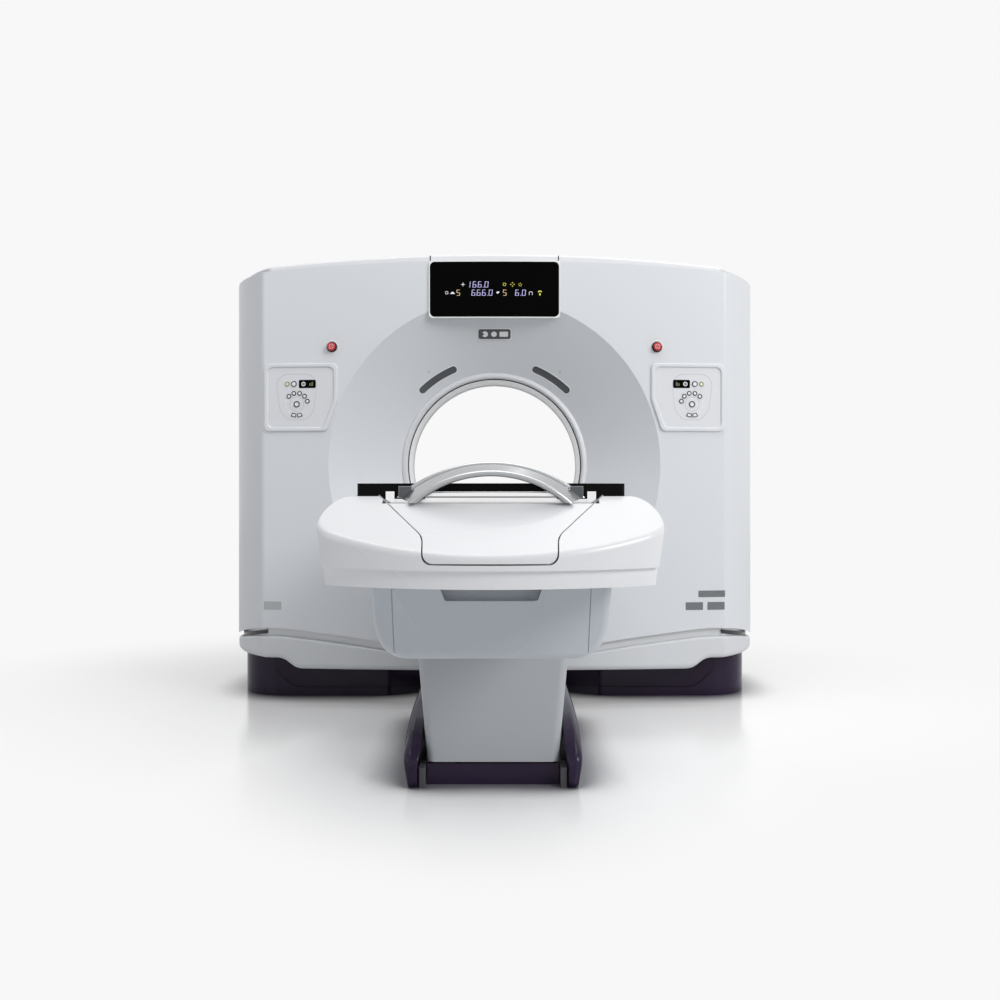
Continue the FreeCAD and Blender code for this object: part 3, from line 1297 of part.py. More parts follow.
def table_base():
    """The floor plate of the table with the outer column tube and two front lugs welded on."""
    half = 190
    near = -1672
    plate = plan_prism(rounded_rect(-half, near, half, -820, 12), 0, 20)
    arm = box((half - 20, near + 2, 0), (LUG_OUT_X, LUG_FAR_Y, 20))
    lug = plan_prism(rounded_rect(KICK_HALF_W + 3, LUG_NEAR_Y, LUG_OUT_X, LUG_FAR_Y, 3), 0, LUG_TOP_Z)
    base = plate.fuse(column_tube(0))
    for piece in (arm, lug):
        base = base.fuse(piece).fuse(mirrored(piece))
    for x in (-TABLE_ANCHOR_X, TABLE_ANCHOR_X):
        for y in (TABLE_ANCHOR_NEAR_Y, TABLE_ANCHOR_HEAD_Y):
            base = base.cut(Part.makeCylinder(ANCHOR_HOLE_R, 60, V(x, y, -10)))
    return base.removeSplitter()


def lift_cylinder():
    barrel = Part.makeCylinder(LIFT_CYLINDER_R, 380, V(0, COLUMN_Y, 20))
    return barrel.cut(Part.makeCylinder(LIFT_ROD_R + 0.3, 400, V(0, COLUMN_Y, 60)))


def lift_rod():
    rod = Part.makeCylinder(LIFT_ROD_R, FRAME_LOW_Z - 14 - 330, V(0, COLUMN_Y, 330))
    head = box((-60, COLUMN_Y - 60, FRAME_LOW_Z - 14), (60, COLUMN_Y + 60, FRAME_LOW_Z))
    return rod.fuse(head)


def floor_duct():
    """The low cable duct on the floor between the table base and the gantry."""
    corners = [(-DUCT_HALF_W, 0, 0), (DUCT_HALF_W, 0, 0), (DUCT_TOP_HALF_W, DUCT_TOP_Z, 8),
               (-DUCT_TOP_HALF_W, DUCT_TOP_Z, 8)]
    return front_prism(corners, PEDESTAL_HEAD_Y - 10, -300)


def cradle_board():
    """The carbon board, square at its foot and drawn in towards its head."""
    r = 10
    plan = [(-BOARD_HALF_W, BOARD_NEAR_Y, r), (BOARD_HALF_W, BOARD_NEAR_Y, r),
            (BOARD_HALF_W, BOARD_TAPER_Y, 300), (BOARD_HEAD_HALF_W, BOARD_HEAD_Y, 50),
            (-BOARD_HEAD_HALF_W, BOARD_HEAD_Y, 50), (-BOARD_HALF_W, BOARD_TAPER_Y, 300)]
    board = plan_prism(plan, BOARD_LOW_Z, BOARD_TOP_Z)
    axis = V(0, BOARD_HOLLOW_NEAR_Y, BOARD_TOP_Z - BOARD_HOLLOW_DEPTH + BOARD_HOLLOW_R)
    return board.cut(Part.makeCylinder(BOARD_HOLLOW_R, 1200, axis, V(0, 1, 0)))


def cradle_end_block():
    """The cross piece under the foot of the board, with the white bar across its end."""
    half = END_BAR_HALF_W
    under = box((-225, BOARD_NEAR_Y, UNDER_Z), (225, BOARD_NEAR_Y + 80, BOARD_LOW_Z))
    bar = box((-half, BOARD_NEAR_Y - 11, END_BAR_LOW_Z), (half, BOARD_NEAR_Y, END_BAR_TOP_Z))
    bar = try_fillet(bar, 3, lambda e: e.BoundBox.XLength > 200 and e.BoundBox.YMax < BOARD_NEAR_Y - 1)
    web = box((-half, BOARD_NEAR_Y - 3, UNDER_Z), (half, BOARD_NEAR_Y, END_BAR_LOW_Z))
    end = box((211, BOARD_NEAR_Y - 14, UNDER_Z + 10), (230, BOARD_NEAR_Y, END_BAR_TOP_Z))
    return under.multiFuse([bar, web, end, mirrored(end)]).removeSplitter()


def cradle_carriage():
    """The driven carriage under the board."""
    return plan_prism(rounded_rect(-100, -2590, 100, -2270, 15), UNDER_Z, BOARD_LOW_Z)


def arch_centre(half_w, foot_z, peak_z):
    """Height of the centre and radius of the arc through two feet and a peak."""
    rise = peak_z - foot_z
    radius = (half_w * half_w + rise * rise) / (2 * rise)
    return peak_z - radius, radius


def arch_tube(y, half_w, foot_z, peak_z, r):
    """A round tube bent over the board, cut level at its feet."""
    centre_z, radius = arch_centre(half_w, foot_z, peak_z)
    lead = math.radians(4)
    start = math.asin(half_w / radius) + lead
    foot = V(-radius * math.sin(start), y, centre_z + radius * math.cos(start))
    ring = Part.Wire([Part.Circle(foot, V(math.cos(start), 0, math.sin(start)), r).toShape()])
    tube = Part.Face(ring).revolve(V(0, y, centre_z), V(0, 1, 0), math.degrees(2 * start))
    return tube.common(box((-300, y - 50, foot_z), (300, y + 50, peak_z + 50)))


def web_wire(y, half_w, foot_z, peak_z):
    """The web's section along one tube: two arcs a web's thickness apart, closed at the feet."""
    h = HANDLE_WEB_T / 2
    outer = Part.Arc(V(-half_w - h, y, foot_z), V(0, y, peak_z + h), V(half_w + h, y, foot_z)).toShape()
    inner = Part.Arc(V(half_w - h, y, foot_z), V(0, y, peak_z - h), V(-half_w + h, y, foot_z)).toShape()
    left = Part.LineSegment(V(-half_w + h, y, foot_z), V(-half_w - h, y, foot_z)).toShape()
    right = Part.LineSegment(V(half_w + h, y, foot_z), V(half_w - h, y, foot_z)).toShape()
    return Part.Wire([outer, right, inner, left])


def bow_handle():
    """The bow handle: a wide back tube and a narrower front tube with a web between, on two brackets."""
    back = (HANDLE_BACK_Y, HANDLE_BACK_HALF_W, HANDLE_BACK_FOOT_Z, HANDLE_BACK_PEAK_Z)
    front = (HANDLE_FRONT_Y, HANDLE_FRONT_HALF_W, HANDLE_FRONT_FOOT_Z, HANDLE_FRONT_PEAK_Z)
    web = Part.makeLoft([web_wire(*front), web_wire(*back)], True, True)
    bracket = box((172, BOARD_NEAR_Y - 14, END_BAR_LOW_Z), (202, BOARD_NEAR_Y, 931))
    pieces = [arch_tube(*front, HANDLE_FRONT_R), arch_tube(*back, HANDLE_BACK_R), bracket, mirrored(bracket)]
    return web.multiFuse(pieces).removeSplitter()


# ---------------------------------------------------------------- all nodes
def gantry_nodes():
    air = dish_air(DISH_R, LIP_R, DISH_RING_Y, -1)
    lower_front, lower_rear = lower_covers()
    display = display_block()
    glass = display_glass(DISPLAY_PROUD - GLASS_SINK)
    display = display.cut(display_glass(DISPLAY_PROUD + 10))
    light = arc_light(air)
    panel = panel_with_domes()
    screen = screen_plate()
    nodes = {
        "base_frame": base_frame(),
        "bearing_outer_ring": bearing_outer_ring(),
        "front_cover": front_cover(air),
        "rear_cover": rear_cover(),
        "side_cover_left": mirrored(side_cover()),
        "side_cover_right": side_cover(),
        "lower_cover_front": lower_front,
        "lower_cover_rear": lower_rear,
        "reveal_band": reveal_band(),
        "base_shoe_left": mirrored(base_shoe()),
        "base_shoe_right": base_shoe(),
        "bore_ring": bore_ring(),
        "bore_liner": bore_liner(),
        "scan_window": scan_window(),
        "display_housing": display,
        "display_glass": glass,
        "indicator_panel": indicator_panel(),
        "arc_lights": both(light),
        "control_panel_left": mirrored(panel),
        "control_panel_right": panel,
        "panel_screens": both(screen),
        "estop_collars": both(estop_collar(ESTOP_X, ESTOP_Z)),
    }
    nodes.update(top_covers())
    for word, side in LEFT_RIGHT.items():
        nodes["estop_button_" + word] = sided(estop_button(ESTOP_X, ESTOP_Z), side)
        for name, x, z, r in key_places():
            nodes[name + "_" + word] = sided(key_cap(x, z, r), side)
    return nodes


def rotor_nodes():
    return {
        "rotor_drum": rotor_drum(),
        "bearing_inner_ring": bearing_inner_ring(),
        "slip_ring": slip_ring(),
        "xray_tube": xray_tube(),
        "collimator": collimator(),
        "detector_arc": detector_arc(),
        "generator": generator(),
        "heat_exchanger": heat_exchanger(),
    }


def table_nodes():
    cover, insert = end_cover_and_insert()
    return {
        "table_base": table_base(),
        "pedestal_cover": pedestal_cover(),
        "base_fins": both(base_fin()),
        "base_front_plate": base_front_plate(),
        "lift_cylinder": lift_cylinder(),
        "floor_duct": floor_duct(),
        "column_middle": column_tube(1),
        "column_inner": column_tube(2),
        "lift_rod": lift_rod(),
        "table_frame": table_frame(),
        "side_rails": both(side_rail()),
        "end_cover": cover,
        "end_insert": insert,
        "head_cover": head_cover(),
        "upper_housing": upper_housing(),
        "cradle_board": cradle_board(),
        "cradle_end_block": cradle_end_block(),
        "cradle_carriage": cradle_carriage(),
        "bow_handle": bow_handle(),
    }


def main():
    os.makedirs("parts", exist_ok=True)
    nodes = {**gantry_nodes(), **rotor_nodes(), **table_nodes()}
    for name, shape in nodes.items():
        shape.exportStep("parts/" + name + ".step")


main()
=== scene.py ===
"""Looks of a CT scanner: dished gantry and patient table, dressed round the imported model."""
import json
import math

import bmesh
import bpy
from bpy.props import FloatProperty, FloatVectorProperty, PointerProperty
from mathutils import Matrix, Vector


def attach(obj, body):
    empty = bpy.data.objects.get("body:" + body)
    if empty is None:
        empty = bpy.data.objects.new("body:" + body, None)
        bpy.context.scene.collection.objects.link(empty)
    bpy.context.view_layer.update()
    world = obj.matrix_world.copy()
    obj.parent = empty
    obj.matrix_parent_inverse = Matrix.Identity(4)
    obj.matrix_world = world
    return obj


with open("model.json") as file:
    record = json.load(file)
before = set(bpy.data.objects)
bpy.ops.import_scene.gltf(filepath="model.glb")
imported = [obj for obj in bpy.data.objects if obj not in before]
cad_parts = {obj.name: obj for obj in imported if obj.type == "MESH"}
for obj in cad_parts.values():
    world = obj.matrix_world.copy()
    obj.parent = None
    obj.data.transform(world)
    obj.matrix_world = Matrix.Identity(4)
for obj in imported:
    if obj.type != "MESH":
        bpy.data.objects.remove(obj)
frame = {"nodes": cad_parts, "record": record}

bl_info = {
    "name": "CT scanner",
    "version": (1, 0, 0),
    "blender": (4, 5, 0),
    "location": "3D View > Sidebar > Scanner",
    "description": "Dresses the packed gantry and patient table",
    "category": "Object",
}

NODES = frame["nodes"]
FIXED = "scanner"
SIDES = (("left", -1), ("right", 1))
BACKGROUND = "f8f8f8"

# All lengths are in metres. Boxes are (u0, v0, u1, v1), with u to the right and v up.
MM = 0.001
MARK_SINK = 0.2 * MM      # how deep a flat mark is set into what carries it

# The gantry's form, as the part's source has it: bowed face, dish, bore and rounded flank.
FACE_R = 7.5
FRONT_Y = -0.5
REAR_Y = 0.64
ISO_Z = 1.015
DISH_R = 0.702
DISH_RING_R = 0.398
DISH_RING_Y = -0.335
BORE_R = 0.377
LINER_NEAR_Y = -0.317
FLANK_R = 0.504
FLANK_CENTRE = (0.661, -0.05)
CREASE_X = 0.985

# The display: how far the window stands out of the face, and the lower edges of both rows.
DISPLAY_PROUD = 0.0055
ROW_HIGH = 1.7583
ROW_LOW = 1.7238
DIGITS = (("1", -0.1175, ROW_HIGH), ("66.0", -0.092, ROW_HIGH),
          ("666.0", -0.0965, ROW_LOW), ("6.0", 0.0866, ROW_LOW))
AMBER_DIGITS = (("5", -0.1605, ROW_LOW), ("5", 0.0345, ROW_LOW))
SEGMENTS = {"0": "abcdef", "1": "bc", "5": "acdfg", "6": "acdefg"}
RIM_OUTER = (-0.2762, 1.6306, 0.2762, 1.8694, 0.012)      # box and corner radius
RIM_INNER = (-0.2712, 1.6354, 0.2712, 1.8666, 0.021)
BORDER_OUTER = (-0.2714, 1.6352, 0.2714, 1.8668, 0.021)
BORDER_INNER = (-0.262, 1.6445, 0.262, 1.8575, 0.016)
BOW_STEPS = 12            # pieces of a long level edge that follows the bowed face

# The lamp strip over the bore, seen along its own plate.
PILL_Z = 1.575
PILL_PROUD = 4 * MM
STRIP_HALF_U = 68.5 * MM
STRIP_HALF_V = 22 * MM
STRIP_EDGE = 4.5 * MM
RING_LAMP_U = -0.0405
DOT_LAMP_U = -0.002
STRIP_WINDOW = (0.0215, -0.0115, 0.058, 0.0115)

# The right-hand keypad; the left one mirrors it. Heights are out of the face.
PANEL_FIELD = 3 * MM
KEY_DOME = 1.5 * MM       # preset keys stand this far out of the field
KEY_TOP = 6 * MM
DIAL = (0.838, 1.272)
DIAL_R = 0.0476
PRESET_ANGLES = (45, 75, 105, 135, 165)
ARROW_ANGLES = (255, 285)
DOT_ANGLES = (15, 345, 315)
CAP_R = 6.6 * MM
CAP_RING = (10 * MM, 5.8 * MM)
ARROW_CAP = (5 * MM, 8)            # half its width in radius and in degrees
ARROW_SURROUND = (8.6 * MM, 12.5)
KEYS = (("centre_key", 0.838, 1.272, 8.6, 13.4), ("lamp_key", 0.879, 1.358, 6.6, 9.9),
        ("lock_key", 0.850, 1.358, 8.4, 12.4))     # name, u, v, ring radii in mm
OVERLAY = (0.752, 1.205, 0.925, 1.400, 0.05)       # box and corner radius
OVERLAY_MIDDLE = (0.832, 1.300)
SCREEN_RING = (0.809, 1.3575)
SCREEN_BARS = (0.768, 1.349, 0.772, 1.366)         # the first and tallest of three
BAR_PITCH = 6 * MM
BAR_DROP = 3 * MM

ESTOP = (0.687, 1.513)
ESTOP_HEAD = 21 * MM
ESTOP_HALO = (28.5 * MM, 22.3 * MM)

# The arc lights in the dish: radius and half width of their slots, angles of their ends.
ARC_R = 0.4495
ARC_HALF_W = 0.0145
ARC_ENDS = (46.2, 66.8)
DISH_DOT = (0.282, 1.4165)
LID_SEAM_X = 0.270
LID_SEAM_Z = (1.876, 1.896)

# The dark ends of the reveal, painted shade of the groove round the flank: depth behind the flank,
# height at the crease, fall and sweep.
REVEAL_DEPTH = 21 * MM
REVEAL_Z = 0.301
REVEAL_FALL = 0.215
REVEAL_SWEEP = 50.0
REVEAL_HALF = 8 * MM
REVEAL_WALL = 3 * MM

# The end of the table: plan radius of the nose, the slope behind its crest, the groove
# round the insert from the crest down to its lower corner, and the handle's brackets.
NOSE_R = 0.64
NOSE_Y = -2.97
CREST = (-2.71, 0.91)
SLOPE = 0.446
GROOVE = ((0.2465, 0.9115), (0.1375, 0.829), (0.1325, 0.800))
GROOVE_CORNER = (0.1125, 0.7975)
GROOVE_CORNER_R = 0.020
SEAL_HALF = 1.4 * MM
SEAL_DEPTHS = (4.4 * MM, 6.4 * MM)
BRACKET_Y = -2.714
BRACKET_X = 0.1875
BRACKET_HALF = 14 * MM
BRACKET_Z = (0.9065, 0.9303)

# The back: one column of screws on each side, and wires behind each field of vents.
SCREW_X = 0.93
SCREW_Z = 0.45
SCREW_STEP = 0.32
SCREW_COUNT = 5
VENT_X = (0.548, 0.860)
VENT_Z = 0.445
WIRE_COUNT = 40
WIRE_DEPTH = 14 * MM

PALE_PLATE = (-0.982, 0.399, -0.906, 0.434)
DARK_PLATES = ((0.866, 0.453, 0.982, 0.481), (0.811, 0.399, 0.886, 0.432),
               (0.905, 0.399, 0.98, 0.432))
PLATE_ROUND = 2 * MM

# The stage. A pool of shaded floor lies under the gantry and one under the table: shift and
# scale of the floor's coordinates, so that a pool's edge lies at a length of one.
FLOOR_HALF = 14.0
FLOOR_POOLS = (((0.08, -0.055, 0.0), (0.8, 1.1, 0.0)), ((0.0, 1.27, 0.0), (1.9, 1.333, 0.0)))
POOL_FADE = (0.95, 2.3)
# Painted contact shade on the floor: how far from what stands on it the colour darkens, and its
# darkest colour.
CONTACT_REACH = 0.18
CONTACT_SHADE_COLOUR = "7c7c80"
# Name, power setting, place, target, width, height, colour.
LAMPS = (
    ("key_lamp", "key_power", (10.0, -9.5, 8.0), (0.2, -0.8, 0.9), 6.0, 6.0, "ffffff"),
    ("fill_lamp", "fill_power", (-4.4, -4.0, 2.4), (0.0, -0.8, 0.9), 2.6, 2.6, "f4f7ff"),
    ("top_lamp", "top_power", (0.3, -1.6, 4.6), (0.0, -1.2, 0.8), 4.5, 3.5, "ffffff"),
)
CAMERA_PLACE = (0.016, -5.12, 0.938)
LENS_MM = 39.6
LENS_SHIFT = (0.0018, -0.017)


# -------------------- colour and nodes
def linear(hex_colour):
    """An sRGB hex colour as linear RGBA."""
    def channel(i):
        c = int(hex_colour[i:i + 2], 16) / 255
        return c / 12.92 if c <= 0.04045 else ((c + 0.055) / 1.055) ** 2.4
    return (channel(0), channel(2), channel(4), 1.0)


def add_node(tree, kind, links=None, **settings):
    """A node with its settings; links maps an input to a value or to another node's output."""
    node = tree.nodes.new(kind)
    for key, value in settings.items():
        setattr(node, key, value)
    for name, value in (links or {}).items():
        if isinstance(value, bpy.types.NodeSocket):
            tree.links.new(value, node.inputs[name])
        else:
            node.inputs[name].default_value = value
    return node


def blend_colours(tree, factor, first, second):
    """The output of a colour mix between two linear colours."""
    mix = add_node(tree, "ShaderNodeMix", {"Factor": factor}, data_type="RGBA")
    mix.inputs[6].default_value = first
    mix.inputs[7].default_value = second
    return mix.outputs[2]


def combine(tree, operation, first, second):
    """The output of a math node on two values or outputs."""
    return add_node(tree, "ShaderNodeMath", {0: first, 1: second}, operation=operation).outputs[0]


def shaded(name, **sockets):
    """A new material: its tree, its Principled shader and its object coordinates in metres."""
    material = bpy.data.materials.new(name)
    material.use_nodes = True
    tree = material.node_tree
    tree.nodes.clear()
    shader = add_node(tree, "ShaderNodeBsdfPrincipled", sockets)
    output = add_node(tree, "ShaderNodeOutputMaterial")
    tree.links.new(shader.outputs[0], output.inputs["Surface"])
    place = add_node(tree, "ShaderNodeTexCoord").outputs["Object"]
    return material, tree, shader, place


def noise_at(tree, place, scale, detail):
    """A noise value at a scale in cycles per metre."""
    return add_node(tree, "ShaderNodeTexNoise", {
        "Vector": place, "Scale": scale, "Detail": detail}).outputs["Fac"]


def tint(tree, shader, place, colour, other, scale, detail=3.0):
    """Very slight variation between two near colours."""
    factor = noise_at(tree, place, scale, detail)
    paint = blend_colours(tree, factor, linear(colour), linear(other))
    tree.links.new(paint, shader.inputs["Base Color"])


def gloss_range(tree, shader, value, low, high):
    """Roughness from low to high as a value goes from 0 to 1."""
    ramp = add_node(tree, "ShaderNodeMapRange", {"Value": value, "To Min": low, "To Max": high})
    tree.links.new(ramp.outputs["Result"], shader.inputs["Roughness"])


def uneven_gloss(tree, shader, place, scale, low, high, detail=4.0):
    """Slow variation of the roughness."""
    gloss_range(tree, shader, noise_at(tree, place, scale, detail), low, high)


def relief(tree, shader, height, distance, strength=1.0):
    """Bump of a height value, with its real depth."""
    bump = add_node(tree, "ShaderNodeBump", {
        "Height": height, "Distance": distance, "Strength": strength})
    tree.links.new(bump.outputs["Normal"], shader.inputs["Normal"])


def painted_moulding(name, colour, other, low=0.32, high=0.42):
    """Reaction-moulded polyurethane, sprayed with satin enamel: even and pale, with orange peel
    of about 4 mm that is drawn coarser than life so that it shows in soft highlights."""
    material, tree, shader, place = shaded(name, **{
        "Coat Weight": 0.25, "Coat Roughness": 0.22})
    tint(tree, shader, place, colour, other, 1.3, 0.0)
    uneven_gloss(tree, shader, place, 2.0, low, high, 0.0)
    relief(tree, shader, noise_at(tree, place, 1 / (4 * MM), 1.0), 0.008 * MM)
    return material


def glossy_abs(name, colour, other, low, high, gloss=0.5):
    """Vacuum-formed ABS with its glossy side out: deep colour, slow waves from the forming."""
    material, tree, shader, place = shaded(name, **{"Specular IOR Level": gloss})
    tint(tree, shader, place, colour, other, 4.0)
    uneven_gloss(tree, shader, place, 14.0, low, high)
    relief(tree, shader, noise_at(tree, place, 12.0, 1.0), 0.4 * MM, 0.5)
    return material


def grained_plastic(name, colour, other, roughness=0.55):
    """Injection-moulded ABS or rubber with a fine spark-eroded grain of 0.8 mm, drawn at 1.5 mm."""
    material, tree, shader, place = shaded(name)
    tint(tree, shader, place, colour, other, 30.0)
    uneven_gloss(tree, shader, place, 60.0, roughness - 0.06, roughness + 0.06)
    relief(tree, shader, noise_at(tree, place, 1 / (1.5 * MM), 2.0), 0.06 * MM, 0.6)
    return material


def black_glass(name):
    """A smoked acrylic window with an anti-glare film: black from the front, with a weak sharp
    reflection."""
    material, tree, shader, place = shaded(name, **{"Specular IOR Level": 0.02})
    tint(tree, shader, place, "040404", "060606", 8.0)
    uneven_gloss(tree, shader, place, 25.0, 0.06, 0.1)
    return material


def carbon_board(name):
    """Carbon-fibre laminate, 2 by 2 twill under resin: the 6 mm tow squares show as faint
    light and dark checks with a gloss on top."""
    material, tree, shader, place = shaded(name, **{"Specular IOR Level": 0.08})
    weave = add_node(tree, "ShaderNodeTexChecker", {
        "Vector": place, "Scale": 1 / (6 * MM),
        "Color1": linear("030304"), "Color2": linear("08080a")})
    tree.links.new(weave.outputs["Color"], shader.inputs["Base Color"])
    uneven_gloss(tree, shader, place, 80.0, 0.3, 0.42)
    relief(tree, shader, weave.outputs["Fac"], 0.03 * MM, 0.4)
    return material


def metal(name, colour, other, low, high, stretch=(1.0, 1.0, 1.0), pitch=1.2):
    """Machined, drawn or brushed metal: fine lines of the given pitch in mm, stretched along
    the tool's way."""
    material, tree, shader, place = shaded(name, **{"Metallic": 1.0})
    tint(tree, shader, place, colour, other, 20.0)
    along = add_node(tree, "ShaderNodeMapping", {"Vector": place, "Scale": stretch})
    lines = noise_at(tree, along.outputs["Vector"], 1 / (pitch * MM), 3.0)
    gloss_range(tree, shader, lines, low, high)
    relief(tree, shader, lines, 0.006 * MM, 0.5)
    return material


def powder_coat(name, colour, other):
    """Baked powder paint on steel: a low pebble of 2 mm."""
    material, tree, shader, place = shaded(name)
    tint(tree, shader, place, colour, other, 10.0)
    uneven_gloss(tree, shader, place, 40.0, 0.42, 0.55)
    pebble = add_node(tree, "ShaderNodeTexVoronoi", {"Vector": place, "Scale": 1 / (2 * MM)})
    relief(tree, shader, pebble.outputs["Distance"], 0.05 * MM, 0.5)
    return material


def lit_mark(name, colour, strength):
    """A lit segment or sign behind the window: it glows evenly."""
    material, tree, shader, place = shaded(name, **{
        "Roughness": 0.5, "Emission Color": linear(colour), "Emission Strength": strength})
    tint(tree, shader, place, colour, colour, 10.0)
    return material


def ink(name, colour, other):
    """Screen-printed ink or a thin label film."""
    material, tree, shader, place = shaded(name)
    tint(tree, shader, place, colour, other, 120.0)
    uneven_gloss(tree, shader, place, 200.0, 0.45, 0.55)
    return material


MATERIALS = {}


def make_materials():
    """One material for each slot of the record, and one for each finish of the added pieces."""
    along_x = (0.05, 1.0, 1.0)
    MATERIALS.update(
        # covers, skirts and joints of the gantry
        cover=painted_moulding("satin_enamel_cover", "dde0e4", "dbdee2"),
        lid=painted_moulding("satin_enamel_lid", "e6e7ea", "e4e5e8"),
        lower_cover=painted_moulding("satin_enamel_bumper", "d6d9dc", "d4d6da"),
        reveal=glossy_abs("polished_grey_reveal", "e2e4e6", "e8eaec", 0.08, 0.16, 1.0),
        # the reveal's ends round the flanks: a near-black colour that paints the shade of the
        # groove there
        reveal_end=glossy_abs("smoked_reveal_end", "2c2e31", "333539", 0.1, 0.2, 0.3),
        skirt=glossy_abs("purple_abs_skirt", "271a33", "2d203a", 0.1, 0.16, 0.2),
        seal=grained_plastic("grey_rubber_seal", "8d9094", "95989c", 0.6),
        black_seal=grained_plastic("black_rubber_seal", "141416", "1b1b1e", 0.6),
        bore_ring=painted_moulding("satin_enamel_ring", "dee0e3", "dbdde1", 0.28, 0.36),
        liner=painted_moulding("gelcoat_bore_liner", "f0f1f2", "ebecee", 0.25, 0.32),
        window=grained_plastic("clear_window_film", "b9bdc2", "c1c5ca", 0.3),
        # display, lamps and keypads
        bezel=painted_moulding("bezel_enamel", "eceded", "e9eaeb"),
        display_glass=black_glass("smoked_acrylic_window"),
        lamp_dark=grained_plastic("smoked_lamp_lens", "585b60", "606368", 0.3),
        strip_plate=grained_plastic("smoked_strip_plate", "55585d", "5c5f64", 0.35),
        panel=painted_moulding("keypad_enamel", "e0e2e6", "dddfe3"),
        collar=grained_plastic("black_nylon_collar", "1a1a1c", "222225"),
        red=glossy_abs("signal_red_knob", "b8222e", "c02833", 0.25, 0.32),
        # a paler red for the painted highlight on the emergency-stop heads
        pale_red=glossy_abs("pale_red_mark", "e09a9d", "e6a5a8", 0.25, 0.32),
        key=grained_plastic("pale_silicone_key", "ebedee", "f0f1f2"),
        green_key=grained_plastic("pale_lit_key", "dfe6d6", "e6ecde"),
        green_ring=grained_plastic("green_lens_ring", "6f8f3e", "7d9c4a", 0.35),
        dark_ring=grained_plastic("dark_key_ring", "303236", "383a3e"),
        digit=lit_mark("lavender_segments", "aeaad8", 0.6),
        amber=lit_mark("amber_segments", "c2a983", 0.6),
        white_lit=lit_mark("white_segments", "c4c4cc", 0.6),
        yellow_lit=lit_mark("yellow_segments", "b3ae45", 0.7),
        dim_lit=lit_mark("dim_screen_sign", "55583a", 0.6),
        white_ink=ink("white_legend_ink", "eeeeef", "e6e6e8"),
        grey_ink=ink("grey_legend_ink", "aeb1b5", "b5b8bc"),
        plate_light=ink("pale_label_film", "b4b7ba", "babdc0"),
        plate_dark=ink("grey_label_film", "6b6e72", "74777b"),
        # frame, rotor and fasteners
        frame_steel=powder_coat("grey_powder_coat", "7b8087", "848990"),
        dark_frame=powder_coat("dark_powder_coat", "454449", "4d4c51"),
        bearing=metal("ground_bearing_steel", "b9bbbd", "c3c5c7", 0.18, 0.3),
        slip_ring=metal("turned_bronze_tracks", "b8955a", "c4a268", 0.22, 0.36),
        rotor_casting=metal("cast_aluminium_rotor", "9ea2a6", "aaaeb1", 0.42, 0.6, pitch=3.0),
        tube_paint=powder_coat("light_powder_coat", "c9ccd0", "d1d4d7"),
        aluminium=metal("extruded_aluminium", "b7babd", "c0c3c6", 0.3, 0.42, (1.0, 0.04, 1.0)),
        cylinder=powder_coat("black_powder_coat", "202124", "28292c"),
        screw=metal("zinc_plated_screw", "b4b6b8", "bfc1c3", 0.25, 0.4),
        grille=powder_coat("black_grille_wire", "1c1d1f", "242527"),
        # table
        pedestal=painted_moulding("satin_enamel_pedestal", "b0b4b8", "acb0b4"),
        duct=powder_coat("grey_duct_paint", "9b9ea2", "a3a6aa"),
        table_cover=painted_moulding("satin_enamel_table", "e8e9ec", "e6e7ea", 0.24, 0.32),
        housing=painted_moulding("satin_enamel_housing", "bdc3ca", "b9bfc6", 0.24, 0.34),
        board=carbon_board("carbon_twill_board"),
        white_trim=metal("polished_end_bar", "f4f4f5", "f8f8f9", 0.14, 0.2, along_x, 0.8),
        silver=metal("satin_anodised_handle", "b2b4b6", "b9bbbd", 0.16, 0.22, along_x, 0.8),
    )


# -------------------- meshes
def finish_piece(name, tool, material, body=FIXED, slot="display_glass", smooth=False):
    """Turns a bmesh into an object at the origin that rides on a body."""
    bmesh.ops.remove_doubles(tool, verts=tool.verts, dist=1e-6)
    bmesh.ops.recalc_face_normals(tool, faces=tool.faces)
    mesh = bpy.data.meshes.new(name)
    tool.to_mesh(mesh)
    tool.free()
    mesh.materials.append(MATERIALS[material])
    for polygon in mesh.polygons:
        polygon.use_smooth = smooth
    piece = bpy.data.objects.new(name, mesh)
    bpy.context.scene.collection.objects.link(piece)
    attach(piece, body)


def join_rows(tool, first, second):
    """Faces between two closed rows of equally many vertices."""
    for i in range(len(first)):
        j = (i + 1) % len(first)
        tool.faces.new((first[i], first[j], second[j], second[i]))


def close_strip(tool, rows):
    """An open-ended strip through closed rows, with both ends capped."""
    for first, second in zip(rows, rows[1:]):
        join_rows(tool, first, second)
    tool.faces.new(rows[0])
    tool.faces.new(list(reversed(rows[-1])))


def raise_outline(tool, outline, place, low, high):
    """A thin prism: the outline of (u, v) points, from low to high above the surface that
    place gives."""
    bottom = [tool.verts.new(place(u, v, low)) for u, v in outline]
    top = [tool.verts.new(place(u, v, high)) for u, v in outline]
    tool.faces.new(top)
    tool.faces.new(list(reversed(bottom)))
    join_rows(tool, bottom, top)


def raise_band(tool, outer, inner, place, low, high, crown=0.0):
    """A thin closed band between two outlines of equally many points, a little higher in its
    middle."""
    rows = []
    for share, height in ((0.0, low), (0.0, high), (0.5, high + crown), (1.0, high), (1.0, low)):
        rows.append([tool.verts.new(place(
            a[0] + (b[0] - a[0]) * share, a[1] + (b[1] - a[1]) * share, height))
            for a, b in zip(outer, inner)])
    for first, second in zip(rows, rows[1:] + rows[:1]):
        join_rows(tool, first, second)


def band(name, outer, inner, place, heights, material, **ride):
    """One piece that is a single band; heights are its low, high and crown."""
    tool = bmesh.new()
    raise_band(tool, outer, inner, place, *heights)
    finish_piece(name, tool, material, **ride)


